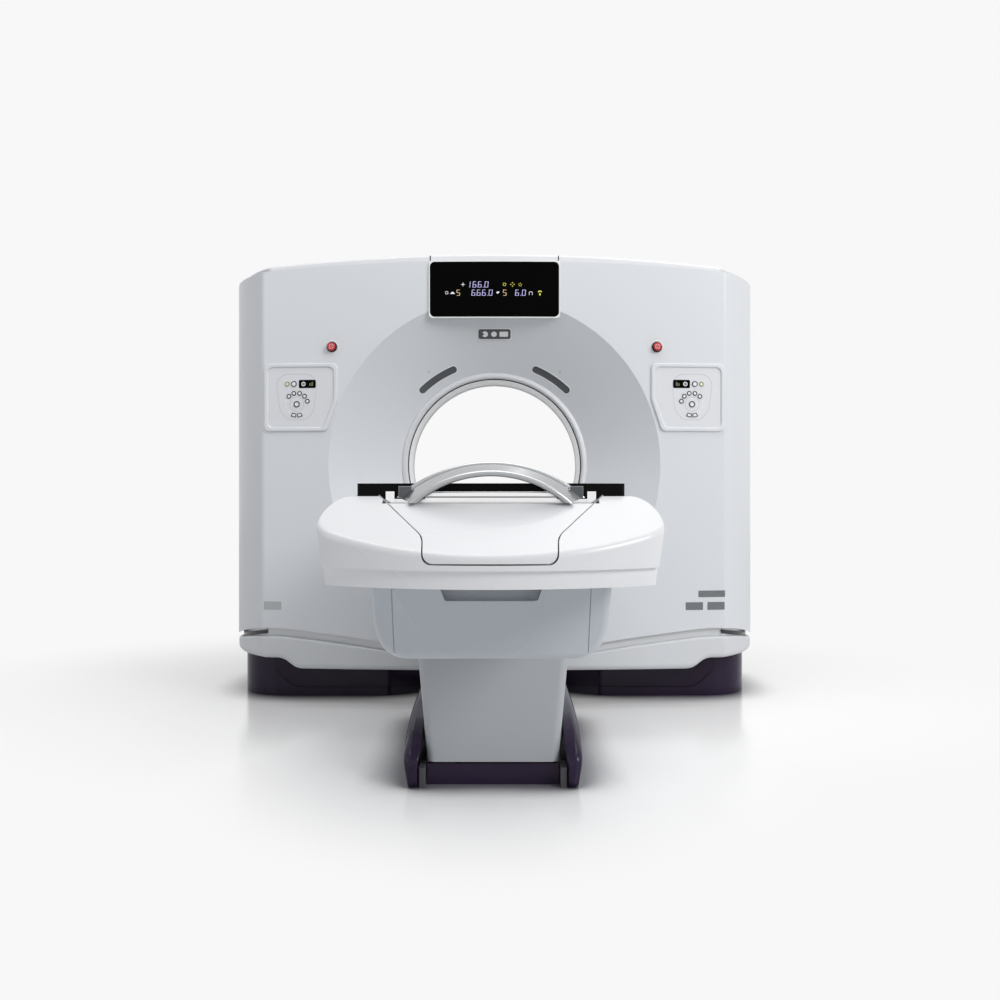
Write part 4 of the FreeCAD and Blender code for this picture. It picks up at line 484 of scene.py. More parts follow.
def marks(name, material, outlines, place, low, high=None, body=FIXED, slot="display_glass"):
    """One piece of flat marks on a surface, as high as ink where no height is given."""
    tool = bmesh.new()
    top = bpy.context.scene.scanner_sizes.ink_height if high is None else high
    for outline in outlines:
        raise_outline(tool, outline, place, low, top)
    finish_piece(name, tool, material, body, slot)


def polar(u, v, r, a):
    """The point at radius r and angle a, in radians, round (u, v)."""
    return u + r * math.cos(a), v + r * math.sin(a)


def circle(u, v, r, count=28):
    """A circle's outline."""
    return [polar(u, v, r, 2 * math.pi * i / count) for i in range(count)]


def sector(u, v, inner, outer, start, end, count=8):
    """A ring sector's outline, angles in degrees."""
    angles = [math.radians(start + (end - start) * i / count) for i in range(count + 1)]
    out = [polar(u, v, outer, a) for a in angles]
    return out + [polar(u, v, inner, a) for a in reversed(angles)]


def ring_bars(u, v, inner, outer, count, fill=0.7):
    """A broken ring, as a few short sectors."""
    step = 360 / count
    return [sector(u, v, inner, outer, step * i, step * (i + fill), 3) for i in range(count)]


def star(u, v, long, short):
    """The outline of a star with four points."""
    return [polar(u, v, short if i % 2 else long, math.pi * i / 4) for i in range(8)]


def rounded(u0, v0, u1, v1, r, count=6, along=1):
    """A rounded rectangle's outline; along is the number of pieces that its level sides are cut
    into, so that a long one can follow a bowed surface."""
    points = []
    for cu, cv, start in ((u1 - r, v1 - r, 0), (u0 + r, v1 - r, 90),
                          (u0 + r, v0 + r, 180), (u1 - r, v0 + r, 270)):
        points += [polar(cu, cv, r, math.radians(start + 90 * i / count))
                   for i in range(count + 1)]
        if start in (0, 180):
            span = (u0 + u1 - 2 * cu) / along
            points += [(cu + span * i, points[-1][1]) for i in range(1, along)]
    return points


# -------------------- surfaces
def face_y(x):
    """The bowed front face."""
    return FRONT_Y + FACE_R - math.sqrt(FACE_R * FACE_R - x * x)


def rear_y(x):
    """The rear cover, bowed like the front."""
    return REAR_Y - FACE_R + math.sqrt(FACE_R ** 2 - x ** 2)


def on_face(base, side=1):
    """A place function for the bowed face at a base height above it; side -1 mirrors it."""
    def place(u, v, h):
        return Vector((side * u, face_y(side * u) - base - h, v))
    return place


def on_pill(u, v, h):
    """The lamp strip's plate, tilted with the dish."""
    rise = DISH_R - DISH_RING_R
    slope = math.atan2(DISH_RING_Y - FRONT_Y, rise)
    share = (PILL_Z - ISO_Z - DISH_RING_R) / rise
    middle = Vector((0, DISH_RING_Y + share * (FRONT_Y - DISH_RING_Y), PILL_Z))
    up = Vector((0, -math.sin(slope), math.cos(slope)))
    out = Vector((0, -math.cos(slope), -math.sin(slope)))
    return middle + Vector((u, 0, 0)) + up * v + out * (PILL_PROUD + h)


def on_dish(u, v, h):
    """The ruled dish round the bore, from its inner ring to its rim on the bowed face."""
    reach = math.hypot(u, v - ISO_Z)
    cos_a = u / reach
    share = (reach - DISH_RING_R) / (DISH_R - DISH_RING_R)
    y = DISH_RING_Y + share * (face_y(DISH_R * cos_a) - DISH_RING_Y)
    return Vector((u, y - h, v))


def on_table_end(u, v, h):
    """The table's end seen from the front: the bowed nose below, the slope above."""
    nose = NOSE_Y + NOSE_R - math.sqrt(NOSE_R * NOSE_R - u * u)
    slope = CREST[0] - (CREST[1] - v) / SLOPE
    return Vector((u, max(nose, slope) - h, v))


def on_bracket(u, v, h):
    """The flat front of the handle's brackets."""
    return Vector((u, BRACKET_Y - h, v))


# -------------------- settings
class ScannerSizes(bpy.types.PropertyGroup):
    digit_height: FloatProperty(
        name="Digit height", description="Height of the read-out's digits",
        default=0.0255, unit="LENGTH")
    digit_slant: FloatProperty(
        name="Digit slant", description="Lean of the digits, as run over rise",
        default=0.1, subtype="FACTOR")
    ink_height: FloatProperty(
        name="Ink height", description="How far a printed mark stands up",
        default=0.0003, unit="LENGTH")


class ScannerStage(bpy.types.PropertyGroup):
    floor_colour: FloatVectorProperty(
        name="Floor colour", description="Colour of the studio floor",
        default=(0.92, 0.92, 0.92), subtype="COLOR")
    key_power: FloatProperty(
        name="Key light", description="Power of the large lamp", default=1020.0, unit="POWER")
    fill_power: FloatProperty(
        name="Fill light", description="Power of the small lamp", default=20.0, unit="POWER")
    top_power: FloatProperty(
        name="Top light", description="Power of the overhead lamp", default=88.0, unit="POWER")
    floor_glow: FloatProperty(
        name="Floor glow", description="Light the floor shows the camera on top of its own",
        default=0.14, subtype="FACTOR")
    haze: FloatProperty(
        name="Room light", description="Strength of the even room light",
        default=0.29, subtype="FACTOR")


# -------------------- operators
class ScannerOperator:
    """Runs build; an error in it stops the operator."""
    bl_options = {"REGISTER", "UNDO"}

    def execute(self, context):
        self.build(context)
        return {"FINISHED"}


class SCANNER_OT_finishes(ScannerOperator, bpy.types.Operator):
    """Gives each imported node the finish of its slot"""
    bl_idname = "scanner.finishes"
    bl_label = "Finishes"

    def build(self, context):
        make_materials()
        slots = {part["node"]: part["material_slot"] for part in frame["record"]["subparts"]}
        slots["table_base"] = "dark_frame"
        for name, node in NODES.items():
            for entry in node.material_slots:
                entry.link = "OBJECT"
                entry.material = MATERIALS[slots[name]]


class SCANNER_OT_readout(ScannerOperator, bpy.types.Operator):
    """Draws the digits and signs behind the display window, with its border and rim"""
    bl_idname = "scanner.readout"
    bl_label = "Read-out"

    def build(self, context):
        sizes = context.scene.scanner_sizes
        place = on_face(DISPLAY_PROUD)
        for name, material, rows in (("readout_digits", "digit", DIGITS),
                                     ("readout_amber", "amber", AMBER_DIGITS)):
            outlines = []
            for text, u, v in rows:
                outlines += segment_outlines(text, u, v, sizes.digit_height, sizes.digit_slant)
            marks(name, material, outlines, place, -MARK_SINK)
        mid_up = ROW_HIGH + sizes.digit_height / 2
        mid_low = ROW_LOW + sizes.digit_height / 2
        marks("readout_white", "white_lit", white_signs(mid_up, mid_low), place, -MARK_SINK)
        marks("readout_yellow", "yellow_lit", yellow_signs(mid_up, mid_low), place, -MARK_SINK)
        band("display_border", rounded(*BORDER_OUTER, along=BOW_STEPS),
             rounded(*BORDER_INNER, along=BOW_STEPS), on_face(DISPLAY_PROUD + 0.5 * MM),
             (-0.7 * MM, 0.3 * MM), "display_glass")
        band("display_rim", rounded(*RIM_OUTER, along=BOW_STEPS),
             rounded(*RIM_INNER, along=BOW_STEPS), on_face(0),
             (-1 * MM, 6.4 * MM, 0.6 * MM), "bezel", slot="bezel", smooth=True)


def segment_outlines(text, u, v, height, slant):
    """Outlines of seven-segment digits, from the lower left corner."""
    width = height * 0.6
    stroke = height * 0.095
    gap = stroke * 0.15
    half = height / 2
    bars = {
        "a": (stroke, height - stroke, width - stroke, height),
        "b": (width - stroke, half, width, height),
        "c": (width - stroke, 0, width, half),
        "d": (stroke, 0, width - stroke, stroke),
        "e": (0, 0, stroke, half),
        "f": (0, half, stroke, height),
        "g": (stroke, half - stroke / 2, width - stroke, half + stroke / 2),
    }
    outlines = []
    for letter in text:
        if letter == ".":
            outlines.append([(u, v), (u + stroke, v), (u + stroke, v + stroke), (u, v + stroke)])
            u += stroke * 2.6
            continue
        for key in SEGMENTS[letter]:
            x0, y0, x1, y1 = bars[key]
            outline = ((x0, y0 + gap), (x1, y0 + gap), (x1, y1 - gap), (x0, y1 - gap))
            outlines.append([(u + x + slant * y, v + y) for x, y in outline])
        u += width + stroke * 2.7
    return outlines


def white_signs(mid_up, mid_low):
    """The plain white signs beside both rows, given the rows' middle heights."""
    signs = [star(-0.1318, mid_up, 10 * MM, 2.4 * MM)]
    signs += ring_bars(-0.2003, mid_low, 4.8 * MM, 6.8 * MM, 4, 0.9)
    # a low mound, a small leaf, and an arch on two feet
    signs.append([(-0.1865, mid_low - 0.005), (-0.1655, mid_low - 0.005),
                  (-0.170, mid_low + 0.001), (-0.177, mid_low + 0.005), (-0.181, mid_low)])
    signs.append([(0.007, mid_low), (0.014, mid_low + 0.006), (0.022, mid_low + 0.004),
                  (0.015, mid_low - 0.005)])
    signs += [sector(0.1525, mid_low - 0.002, 5.5 * MM, 8 * MM, a, a + 75) for a in (5, 100)]
    signs += [rounded(u, mid_low - 0.009, u + 0.0026, mid_low - 0.003, 0.001)
              for u in (0.1448, 0.1576)]
    return signs


def yellow_signs(mid_up, mid_low):
    """The plain yellow signs at the right of both rows."""
    signs = ring_bars(0.0425, mid_up, 4.6 * MM, 7.2 * MM, 4)
    # four small stars round a point, a rayed ring, and a bowl on its stem
    signs += [star(0.0756 + du, mid_up + dv, 3.6 * MM, 1.5 * MM)
              for du, dv in ((0.007, 0), (-0.007, 0), (0, 0.007), (0, -0.007))]
    signs += ring_bars(0.1084, mid_up - 0.001, 3.5 * MM, 7.5 * MM, 5, 0.35)
    signs.append(sector(0.1911, mid_low, 5 * MM, 9.5 * MM, 20, 160))
    signs.append(rounded(0.1878, mid_low - 0.011, 0.1944, mid_low - 0.002, 0.002))
    return signs


class SCANNER_OT_lamp_marks(ScannerOperator, bpy.types.Operator):
    """Draws the round lamps and the window on the strip over the bore"""
    bl_idname = "scanner.lamp_marks"
    bl_label = "Lamp strip marks"

    def build(self, context):
        far_u, far_v = STRIP_HALF_U + STRIP_EDGE, STRIP_HALF_V + STRIP_EDGE
        plate = rounded(-STRIP_HALF_U, -STRIP_HALF_V, STRIP_HALF_U, STRIP_HALF_V, 9 * MM)
        marks("lamp_strip_plate", "strip_plate", [plate], on_pill, -0.5 * MM, 0.6 * MM,
              slot="lamp_dark")
        band("lamp_strip_rim", rounded(-far_u, -far_v, far_u, far_v, 12 * MM), plate, on_pill,
             (-6 * MM, 0, 0.8 * MM), "bezel", slot="cover", smooth=True)
        lamps = [sector(RING_LAMP_U, 0, 4 * MM, 13 * MM, -150, 150, 14),
                 circle(RING_LAMP_U, 0, 4.5 * MM, 16), circle(DOT_LAMP_U, 0, 12 * MM),
                 rounded(*STRIP_WINDOW, 3 * MM)]
        marks("lamp_strip_lamps", "white_ink", lamps, on_pill, 0.4 * MM, 0.9 * MM)


class SCANNER_OT_key_caps(ScannerOperator, bpy.types.Operator):
    """Colours the preset keys of both keypads and prints their marks"""
    bl_idname = "scanner.key_caps"
    bl_label = "Key caps"

    def build(self, context):
        for word, side in SIDES:
            preset_keys(word, on_face(PANEL_FIELD + KEY_DOME, side))
            print_film(word, on_face(PANEL_FIELD, side))
            light, grey = screen_signs()
            screen = on_face(PANEL_FIELD + 0.5 * MM, side)
            marks("screen_signs_" + word, "white_ink", light, screen, -MARK_SINK)
            marks("screen_grey_" + word, "dim_lit", grey, screen, -MARK_SINK)
            for name, u, v, inner, outer in KEYS:
                band(name + "_ring_" + word, circle(u, v, outer * MM, 40),
                     circle(u, v, inner * MM, 40), on_face(KEY_TOP, side),
                     (-0.5 * MM, 0.3 * MM, 0.3 * MM),
                     "green_ring" if name == "lamp_key" else "dark_ring",
                     body=name + "_" + word + "_body", slot="key", smooth=True)


def preset_keys(word, dome):
    """Pale caps and dark rings of the preset keys round the dial and the two arrow keys."""
    pale = []
    dark = bmesh.new()
    for angle in PRESET_ANGLES:
        u, v = polar(*DIAL, DIAL_R, math.radians(angle))
        pale.append(circle(u, v, CAP_R))
        raise_band(dark, *(circle(u, v, r) for r in CAP_RING), dome,
                   -1.4 * MM, 0.5 * MM, 0.3 * MM)
    for angle in ARROW_ANGLES:
        cap, surround = (sector(*DIAL, DIAL_R - r, DIAL_R + r, angle - a, angle + a)
                         for r, a in (ARROW_CAP, ARROW_SURROUND))
        pale.append(cap)
        raise_band(dark, surround, cap, dome, -1 * MM, 0.5 * MM, 0.2 * MM)
    marks("preset_caps_" + word, "key", pale, dome, -1.0 * MM, 0.3 * MM, slot="key")
    finish_piece("preset_rings_" + word, dark, "dark_ring", slot="key", smooth=True)


def print_film(word, field):
    """White dots, the grey dial ring and the grey outline printed on the keypad's film."""
    dots = [circle(*polar(*DIAL, DIAL_R, math.radians(a)), 4.2 * MM, 12) for a in DOT_ANGLES]
    dots += [sector(*polar(*DIAL, 22 * MM, math.radians(a)), 0.0, 5.0 * MM, a - 70, a + 70, 6)
             for a in (0, 90, 180, 270)]
    marks("dial_dots_" + word, "white_ink", dots, field, -0.5 * MM, slot="panel")
    band("dial_ring_" + word, circle(*DIAL, 31 * MM, 48), circle(*DIAL, 29.6 * MM, 48), field,
         (-0.5 * MM, 0.2 * MM), "grey_ink", slot="panel")
    band("overlay_border_" + word, overlay(1.0), overlay(0.985), field,
         (-0.5 * MM, 0.15 * MM), "grey_ink", slot="panel")


def overlay(share):
    """The outline of the keypad's film, a rounded shield that narrows towards its foot, drawn in
    towards its middle by share."""
    cu, cv = OVERLAY_MIDDLE
    return [(cu + (u - cu) * share * (1 - 0.35 * max(0.0, (1.29 - v) / 0.09)),
             cv + (v - cv) * share) for u, v in rounded(*OVERLAY, 8)]


def screen_signs():
    """On a keypad's small screen: a pale ring and, beside it, a dim bar sign."""
    ring = ring_bars(*SCREEN_RING, 5.5 * MM, 9.5 * MM, 4, 0.96)
    ring.append(circle(*SCREEN_RING, 2.2 * MM, 10))
    u0, v0, u1, v1 = SCREEN_BARS
    bars = [rounded(u0 + BAR_PITCH * i, v0, u1 + BAR_PITCH * i, v1 - BAR_DROP * i, 1 * MM, 2)
            for i in range(3)]
    return ring, bars


class SCANNER_OT_estop_rings(ScannerOperator, bpy.types.Operator):
    """Adds the pale halo round each emergency-stop button and a painted highlight on its head, a
    broken pale ring and a dot
    """
    bl_idname = "scanner.estop_rings"
    bl_label = "Emergency-stop rings"

    def build(self, context):
        for word, side in SIDES:
            u, v = side * ESTOP[0], ESTOP[1]
            band("estop_halo_" + word, *(circle(u, v, r, 48) for r in ESTOP_HALO), on_face(0),
                 (-0.5 * MM, 0.6 * MM, 0.4 * MM), "white_ink", slot="cover", smooth=True)
            # A painted highlight on the domed head: a broken pale red ring and a dot.
            ring = [sector(u, v, 6.5 * MM, 11.5 * MM, a, a + 70) for a in (10, 100, 190, 280)]
            ring.append(circle(u, v, 3 * MM, 16))
            marks("estop_marks_" + word, "pale_red", ring, on_face(ESTOP_HEAD),
                  -0.5 * MM, 0.3 * MM, "estop_" + word, "red")


class SCANNER_OT_dish_trim(ScannerOperator, bpy.types.Operator):
    """Adds the rims of the arc lights, two small dots, the lid's seam seals and the bore's seal"""
    bl_idname = "scanner.dish_trim"
    bl_label = "Dish trim"

    def build(self, context):
        rims = bmesh.new()
        for _, side in SIDES:
            raise_band(rims, slot_outline(3.2 * MM, side), slot_outline(-0.4 * MM, side),
                       on_dish, -0.8 * MM, 0.5 * MM, 0.5 * MM)
        finish_piece("arc_light_rims", rims, "bezel", slot="cover", smooth=True)
        dots = [circle(side * DISH_DOT[0], DISH_DOT[1], 3.5 * MM, 16) for _, side in SIDES]
        marks("dish_dots", "grey_ink", dots, on_dish, -0.3 * MM, slot="cover")
        low, high = LID_SEAM_Z
        seams = [rounded(side * LID_SEAM_X - 2 * MM, low, side * LID_SEAM_X + 2 * MM, high,
                         0.5 * MM) for _, side in SIDES]
        marks("lid_seam_seals", "black_seal", seams, on_face(-10 * MM), -1.5 * MM, 0.3 * MM,
              slot="collar")
        seal = bmesh.new()
        raise_round(seal, BORE_R - 1.6 * MM, 2.6 * MM, LINER_NEAR_Y)
        finish_piece("bore_seal", seal, "black_seal", slot="collar", smooth=True)


def slot_outline(margin, side):
    """The outline of an arc light's slot, made wider all round by margin: an outer and an inner
    arc, each followed by the round end after it."""
    half = ARC_HALF_W + margin
    first, last = (math.radians(a) for a in ARC_ENDS)
    points = []
    for way, start, end, turn in ((1, first, last, 0), (-1, last, first, math.pi)):
        points += [polar(0, 0, ARC_R + way * half, start + (end - start) * i / 16)
                   for i in range(17)]
        points += [polar(*polar(0, 0, ARC_R, end), half, end + turn + math.pi * i / 8)
                   for i in range(1, 8)]
    return [(side * u, ISO_Z + v) for u, v in points]


def raise_round(tool, radius, section, y, count=160, sides=8):
    """A ring of round section about the bore axis."""
    rows = []
    for i in range(count):
        a = 2 * math.pi * i / count
        row = []
        for k in range(sides):
            r, shift = polar(radius, 0, section, 2 * math.pi * k / sides)
            row.append(tool.verts.new((r * math.cos(a), y + shift, ISO_Z + r * math.sin(a))))
        rows.append(row)
    for first, second in zip(rows, rows[1:] + rows[:1]):
        join_rows(tool, first, second)


class SCANNER_OT_joint_trim(ScannerOperator, bpy.types.Operator):
    """Adds the reveal's dark ends, the seal round the table's end insert, and dark bracket covers;
    the dark ends and the covers are painted shade
    """
    bl_idname = "scanner.joint_trim"
    bl_label = "Joint trim"

    def build(self, context):
        for word, side in SIDES:
            reveal_end(word, side)
        insert_seal()
        # Dark covers on the brackets' fronts: painted shade where the handle's legs meet the
        # brackets.
        low, high = BRACKET_Z
        covers = [rounded(side * BRACKET_X - BRACKET_HALF, low,
                          side * BRACKET_X + BRACKET_HALF, high, 1 * MM) for _, side in SIDES]
        marks("bracket_covers", "strip_plate", covers, on_bracket, -1 * MM, 0.4 * MM,
              "cradle", "silver")


def reveal_end(word, side):
    """A dark strip of painted shade that closes the reveal round the flank, a little outside the
    grey band.
    """
    radius = FLANK_R - REVEAL_DEPTH
    steps = 24
    rows = []
    tool = bmesh.new()
    down, up = Vector((0, 0, -REVEAL_HALF)), Vector((0, 0, REVEAL_HALF))
    for i in range(steps + 1):
        a = math.radians(REVEAL_SWEEP - REVEAL_SWEEP * i / steps)
        x = FLANK_CENTRE[0] + radius * math.cos(a)
        y = FLANK_CENTRE[1] - radius * math.sin(a)
        spot = Vector((x, y, REVEAL_Z - REVEAL_FALL * (x - CREASE_X)))
        back = spot + Vector((-math.cos(a), math.sin(a), 0)) * REVEAL_WALL
        rows.append([tool.verts.new((side * p.x, p.y, p.z))
                     for p in (spot + down, spot + up, back + up, back + down)])
    close_strip(tool, rows)
    finish_piece("reveal_end_" + word, tool, "reveal_end", slot="reveal")


def insert_seal():
    """A strip of grey rubber along the groove, from the crest down one side and up the other."""
    line = list(GROOVE)
    line += [polar(*GROOVE_CORNER, GROOVE_CORNER_R, math.radians(-90 * i / 6)) for i in range(7)]
    path = line + [(-u, v) for u, v in reversed(line)]
    top, bottom = SEAL_DEPTHS
    tool = bmesh.new()
    rows = []
    for i, (u, v) in enumerate(path):
        before = Vector(path[max(i - 1, 0)])
        after = Vector(path[min(i + 1, len(path) - 1)])
        along = (after - before).normalized()
        side = Vector((along.y, -along.x)) * SEAL_HALF
        spots = ((side, -top), (-side, -top), (-side, -bottom), (side, -bottom))
        rows.append([tool.verts.new(on_table_end(u + s.x, v + s.y, h)) for s, h in spots])
    close_strip(tool, rows)
    finish_piece("insert_seal", tool, "seal", "table_top", "table_cover")


# -------------------- repeats by geometry nodes
def repeat_group():
    """Geometry nodes: a row of round bars, from a start, by a step, turned and with one finish."""
    group = bpy.data.node_groups.new("row_of_bars", "GeometryNodeTree")
    kinds = (("Count", "NodeSocketInt"), ("Start", "NodeSocketVector"),
             ("Step", "NodeSocketVector"), ("Turn", "NodeSocketVector"),
             ("Radius", "NodeSocketFloat"), ("Length", "NodeSocketFloat"),
             ("Sides", "NodeSocketInt"), ("Finish", "NodeSocketMaterial"))
    for name, kind in kinds:
        group.interface.new_socket(name, in_out="INPUT", socket_type=kind)
    group.interface.new_socket("Geometry", in_out="OUTPUT", socket_type="NodeSocketGeometry")
    ins = add_node(group, "NodeGroupInput").outputs
    line = add_node(group, "GeometryNodeMeshLine", {
        "Count": ins["Count"], "Start Location": ins["Start"], "Offset": ins["Step"]})
    bar = add_node(group, "GeometryNodeMeshCylinder", {
        "Vertices": ins["Sides"], "Radius": ins["Radius"], "Depth": ins["Length"]})
    turn = add_node(group, "FunctionNodeEulerToRotation", {0: ins["Turn"]})
    spread = add_node(group, "GeometryNodeInstanceOnPoints", {
        "Points": line.outputs["Mesh"], "Instance": bar.outputs["Mesh"],
        "Rotation": turn.outputs[0]})
    real = add_node(group, "GeometryNodeRealizeInstances", {"Geometry": spread.outputs[0]})
    finish = add_node(group, "GeometryNodeSetMaterial", {
        "Geometry": real.outputs[0], "Material": ins["Finish"]})
    out = add_node(group, "NodeGroupOutput")
    group.links.new(finish.outputs[0], out.inputs[0])
    return group


def bar_rows(name, material, rows, radius, length, sides, turn, slot):
    """One plain mesh of several rows; each row is (start, step, count)."""
    group = bpy.data.node_groups.get("row_of_bars") or repeat_group()
    sockets = {item.name: item.identifier for item in group.interface.items_tree
               if item.in_out == "INPUT"}
    tool = bmesh.new()
    for start, step, count in rows:
        carrier = bpy.data.objects.new(name + "_row", bpy.data.meshes.new(name + "_row"))
        bpy.context.scene.collection.objects.link(carrier)
        nodes = carrier.modifiers.new("row", "NODES")
        nodes.node_group = group
        values = {"Count": count, "Start": start, "Step": step, "Turn": turn, "Radius": radius,
                  "Length": length, "Sides": sides, "Finish": MATERIALS[material]}
        for key, value in values.items():
            nodes[sockets[key]] = value
        bpy.context.view_layer.update()
        view = bpy.context.evaluated_depsgraph_get()
        made = bpy.data.meshes.new_from_object(carrier.evaluated_get(view))
        tool.from_mesh(made)
        carrier.modifiers.remove(nodes)
        bpy.data.objects.remove(carrier)
        bpy.data.meshes.remove(made)
    finish_piece(name, tool, material, slot=slot)


class SCANNER_OT_fasteners(ScannerOperator, bpy.types.Operator):
    """Adds the screw heads of the rear cover and the wires behind its vents"""
    bl_idname = "scanner.fasteners"
    bl_label = "Screws and grilles"

    def build(self, context):
        quarter = math.radians(90)
        rows = [((side * SCREW_X, rear_y(SCREW_X) + 0.5 * MM, SCREW_Z), (0, 0, SCREW_STEP),
                 SCREW_COUNT) for _, side in SIDES]
        bar_rows("rear_screws", "screw", rows, 6 * MM, 3 * MM, 20, (quarter, 0, 0),
                 "frame_steel")
        # Wires close behind the rear vents, on a chord of the bowed cover.
        near, far = VENT_X
        behind = [rear_y(x) - WIRE_DEPTH for x in VENT_X]
        step = Vector((far - near, behind[1] - behind[0], 0)) / (WIRE_COUNT - 1)
        wires = [((near, behind[0], VENT_Z), step, WIRE_COUNT),
                 ((-near, behind[0], VENT_Z), step * Vector((-1, 1, 1)), WIRE_COUNT)]
        bar_rows("rear_grille_wires", "grille", wires, 1.2 * MM, 0.17, 6, (0, 0, 0), "cylinder")


class SCANNER_OT_bare_plates(ScannerOperator, bpy.types.Operator):
    """Fits the bare rating plates low on the front"""
    bl_idname = "scanner.bare_plates"
    bl_label = "Bare plates"

    def build(self, context):
        for name, material, boxes in (("plate_left", "plate_light", [PALE_PLATE]),
                                      ("plates_right", "plate_dark", DARK_PLATES)):
            plates = [rounded(*box, PLATE_ROUND) for box in boxes]
            marks(name, material, plates, on_face(0), -0.3 * MM, 0.6 * MM, slot="panel")


# -------------------- stage
class SCANNER_OT_stage(ScannerOperator, bpy.types.Operator):
    """Sets the floor, the room light, the lamps and the camera"""
    bl_idname = "scanner.stage"
    bl_label = "Stage"

    def build(self, context):
        stage = context.scene.scanner_stage
        make_floor(stage)
        make_room(stage)
        for name, power, *rest in LAMPS:
            area_lamp(name, getattr(stage, power), *rest)
        make_camera()


def area_lamp(name, power, place, target, width, height, colour):
    """A rectangular lamp that looks at its target."""
    data = bpy.data.lights.new(name, "AREA")
    data.shape = "RECTANGLE"
    data.size = width
    data.size_y = height
    data.energy = power
    data.color = linear(colour)[:3]
    lamp = bpy.data.objects.new(name, data)
    bpy.context.scene.collection.objects.link(lamp)
    lamp.location = place
    direction = Vector(target) - lamp.location
    lamp.rotation_euler = direction.to_track_quat("-Z", "Y").to_euler()


def pool_distance(tree, place, shift, scale):
    """The distance from a pool's middle, with the pool's edge at one."""
    moved = add_node(tree, "ShaderNodeMapping", {
        "Vector": place, "Location": shift, "Scale": scale})
    return add_node(tree, "ShaderNodeVectorMath", {0: moved.outputs[0]},
                    operation="LENGTH").outputs["Value"]


def glow(tree, strength):
    """The background's colour as plain light."""
    return add_node(tree, "ShaderNodeEmission", {
        "Color": linear(BACKGROUND), "Strength": strength}).outputs[0]


def make_floor(stage):
    """A pale sweep: floor round the machine with painted contact shade, running out into the
    background for the camera.
    """
    tool = bmesh.new()
    corners_xy = ((-1, -1), (1, -1), (1, 1), (-1, 1))
    tool.faces.new([tool.verts.new((x * FLOOR_HALF, y * FLOOR_HALF, 0)) for x, y in corners_xy])
    mesh = bpy.data.meshes.new("studio_floor")
    tool.to_mesh(mesh)
    tool.free()
    floor = bpy.data.objects.new("studio_floor", mesh)
    bpy.context.scene.collection.objects.link(floor)
    material, tree, shader, place = shaded("pale_studio_floor", **{
        "Roughness": 0.16, "Specular IOR Level": 0.6})
    # Painted contact shade: the floor's colour darkens close to what stands on it, as under large
    # soft lamps.
    crowded = add_node(tree, "ShaderNodeAmbientOcclusion", {"Distance": CONTACT_REACH})
    clear = add_node(tree, "ShaderNodeMapRange", {
        "Value": crowded.outputs["AO"], "From Min": 0.6, "From Max": 0.97}).outputs[0]
    paint = blend_colours(tree, clear, linear(CONTACT_SHADE_COLOUR), (*stage.floor_colour, 1.0))
    tree.links.new(paint, shader.inputs["Base Color"])
    # Away from both pools the camera sees the plain background.
    nearest = combine(tree, "MINIMUM", *(pool_distance(tree, place, *pool)
                                         for pool in FLOOR_POOLS))
    fade = add_node(tree, "ShaderNodeMapRange", {
        "Value": nearest, "From Min": POOL_FADE[0], "From Max": POOL_FADE[1]},
        interpolation_type="SMOOTHSTEP").outputs[0]
    rays = add_node(tree, "ShaderNodeLightPath")
    seen = combine(tree, "MULTIPLY", clear, rays.outputs["Is Camera Ray"])
    share = combine(tree, "MULTIPLY", fade, seen)
    extra = glow(tree, combine(tree, "MULTIPLY", seen, stage.floor_glow))
    lit = add_node(tree, "ShaderNodeAddShader", {0: shader.outputs[0], 1: extra}).outputs[0]
    mix = add_node(tree, "ShaderNodeMixShader", {0: share, 1: lit, 2: glow(tree, 1.0)})
    output = next(node for node in tree.nodes if node.type == "OUTPUT_MATERIAL")
    tree.links.new(mix.outputs[0], output.inputs["Surface"])
    mesh.materials.append(material)


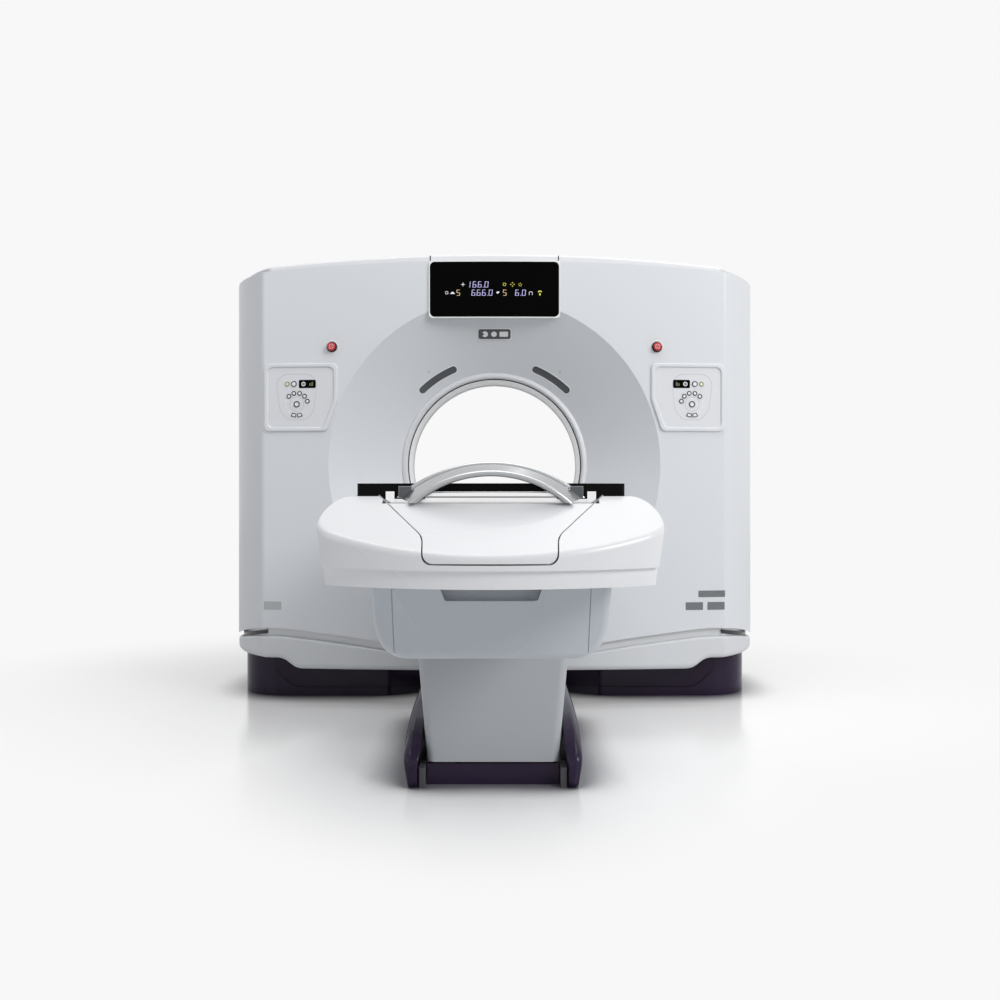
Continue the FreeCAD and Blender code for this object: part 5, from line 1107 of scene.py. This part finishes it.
def make_room(stage):
    """Even light for the shapes; the camera, gloss and clear pieces see the plain pale ground."""
    world = bpy.data.worlds.new("studio_room")
    bpy.context.scene.world = world
    world.use_nodes = True
    tree = world.node_tree
    tree.nodes.clear()
    rays = add_node(tree, "ShaderNodeLightPath").outputs
    seen = combine(tree, "MAXIMUM", rays["Is Camera Ray"], rays["Is Transmission Ray"])
    mirrored = combine(tree, "MAXIMUM", seen, rays["Is Glossy Ray"])
    even = add_node(tree, "ShaderNodeBackground", {
        "Color": linear("ffffff"), "Strength": stage.haze})
    pale = add_node(tree, "ShaderNodeBackground", {"Color": linear(BACKGROUND), "Strength": 1.0})
    mix = add_node(tree, "ShaderNodeMixShader", {
        0: mirrored, 1: even.outputs[0], 2: pale.outputs[0]})
    output = add_node(tree, "ShaderNodeOutputWorld")
    tree.links.new(mix.outputs[0], output.inputs["Surface"])


def make_camera():
    """Level camera near the height of the table top, close to the scanner's centre line."""
    data = bpy.data.cameras.new("camera")
    data.sensor_width = 36.0
    data.lens = LENS_MM
    data.shift_x, data.shift_y = LENS_SHIFT
    data.clip_end = 100.0
    camera = bpy.data.objects.new("camera", data)
    camera.location = CAMERA_PLACE
    camera.rotation_euler = (math.radians(90.0), 0.0, 0.0)
    bpy.context.scene.collection.objects.link(camera)
    bpy.context.scene.camera = camera


# -------------------- panel and registration
OPERATORS = (SCANNER_OT_finishes, SCANNER_OT_readout, SCANNER_OT_lamp_marks,
             SCANNER_OT_key_caps, SCANNER_OT_estop_rings, SCANNER_OT_dish_trim,
             SCANNER_OT_joint_trim, SCANNER_OT_fasteners, SCANNER_OT_bare_plates,
             SCANNER_OT_stage)


class SCANNER_PT_panel(bpy.types.Panel):
    bl_label = "Scanner"
    bl_idname = "SCANNER_PT_panel"
    bl_space_type = "VIEW_3D"
    bl_region_type = "UI"
    bl_category = "Scanner"

    def draw(self, context):
        for operator in OPERATORS:
            self.layout.operator(operator.bl_idname)


CLASSES = (ScannerSizes, ScannerStage, *OPERATORS, SCANNER_PT_panel)


def register():
    for cls in CLASSES:
        bpy.utils.register_class(cls)
    bpy.types.Scene.scanner_sizes = PointerProperty(type=ScannerSizes)
    bpy.types.Scene.scanner_stage = PointerProperty(type=ScannerStage)


def unregister():
    del bpy.types.Scene.scanner_stage
    del bpy.types.Scene.scanner_sizes
    for cls in reversed(CLASSES):
        bpy.utils.unregister_class(cls)


def main():
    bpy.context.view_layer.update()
    register()
    bpy.context.scene.view_settings.view_transform = "Standard"
    for operator in OPERATORS:
        getattr(bpy.ops.scanner, operator.bl_idname.split(".")[1])()


if __name__ == "__main__":
    main()
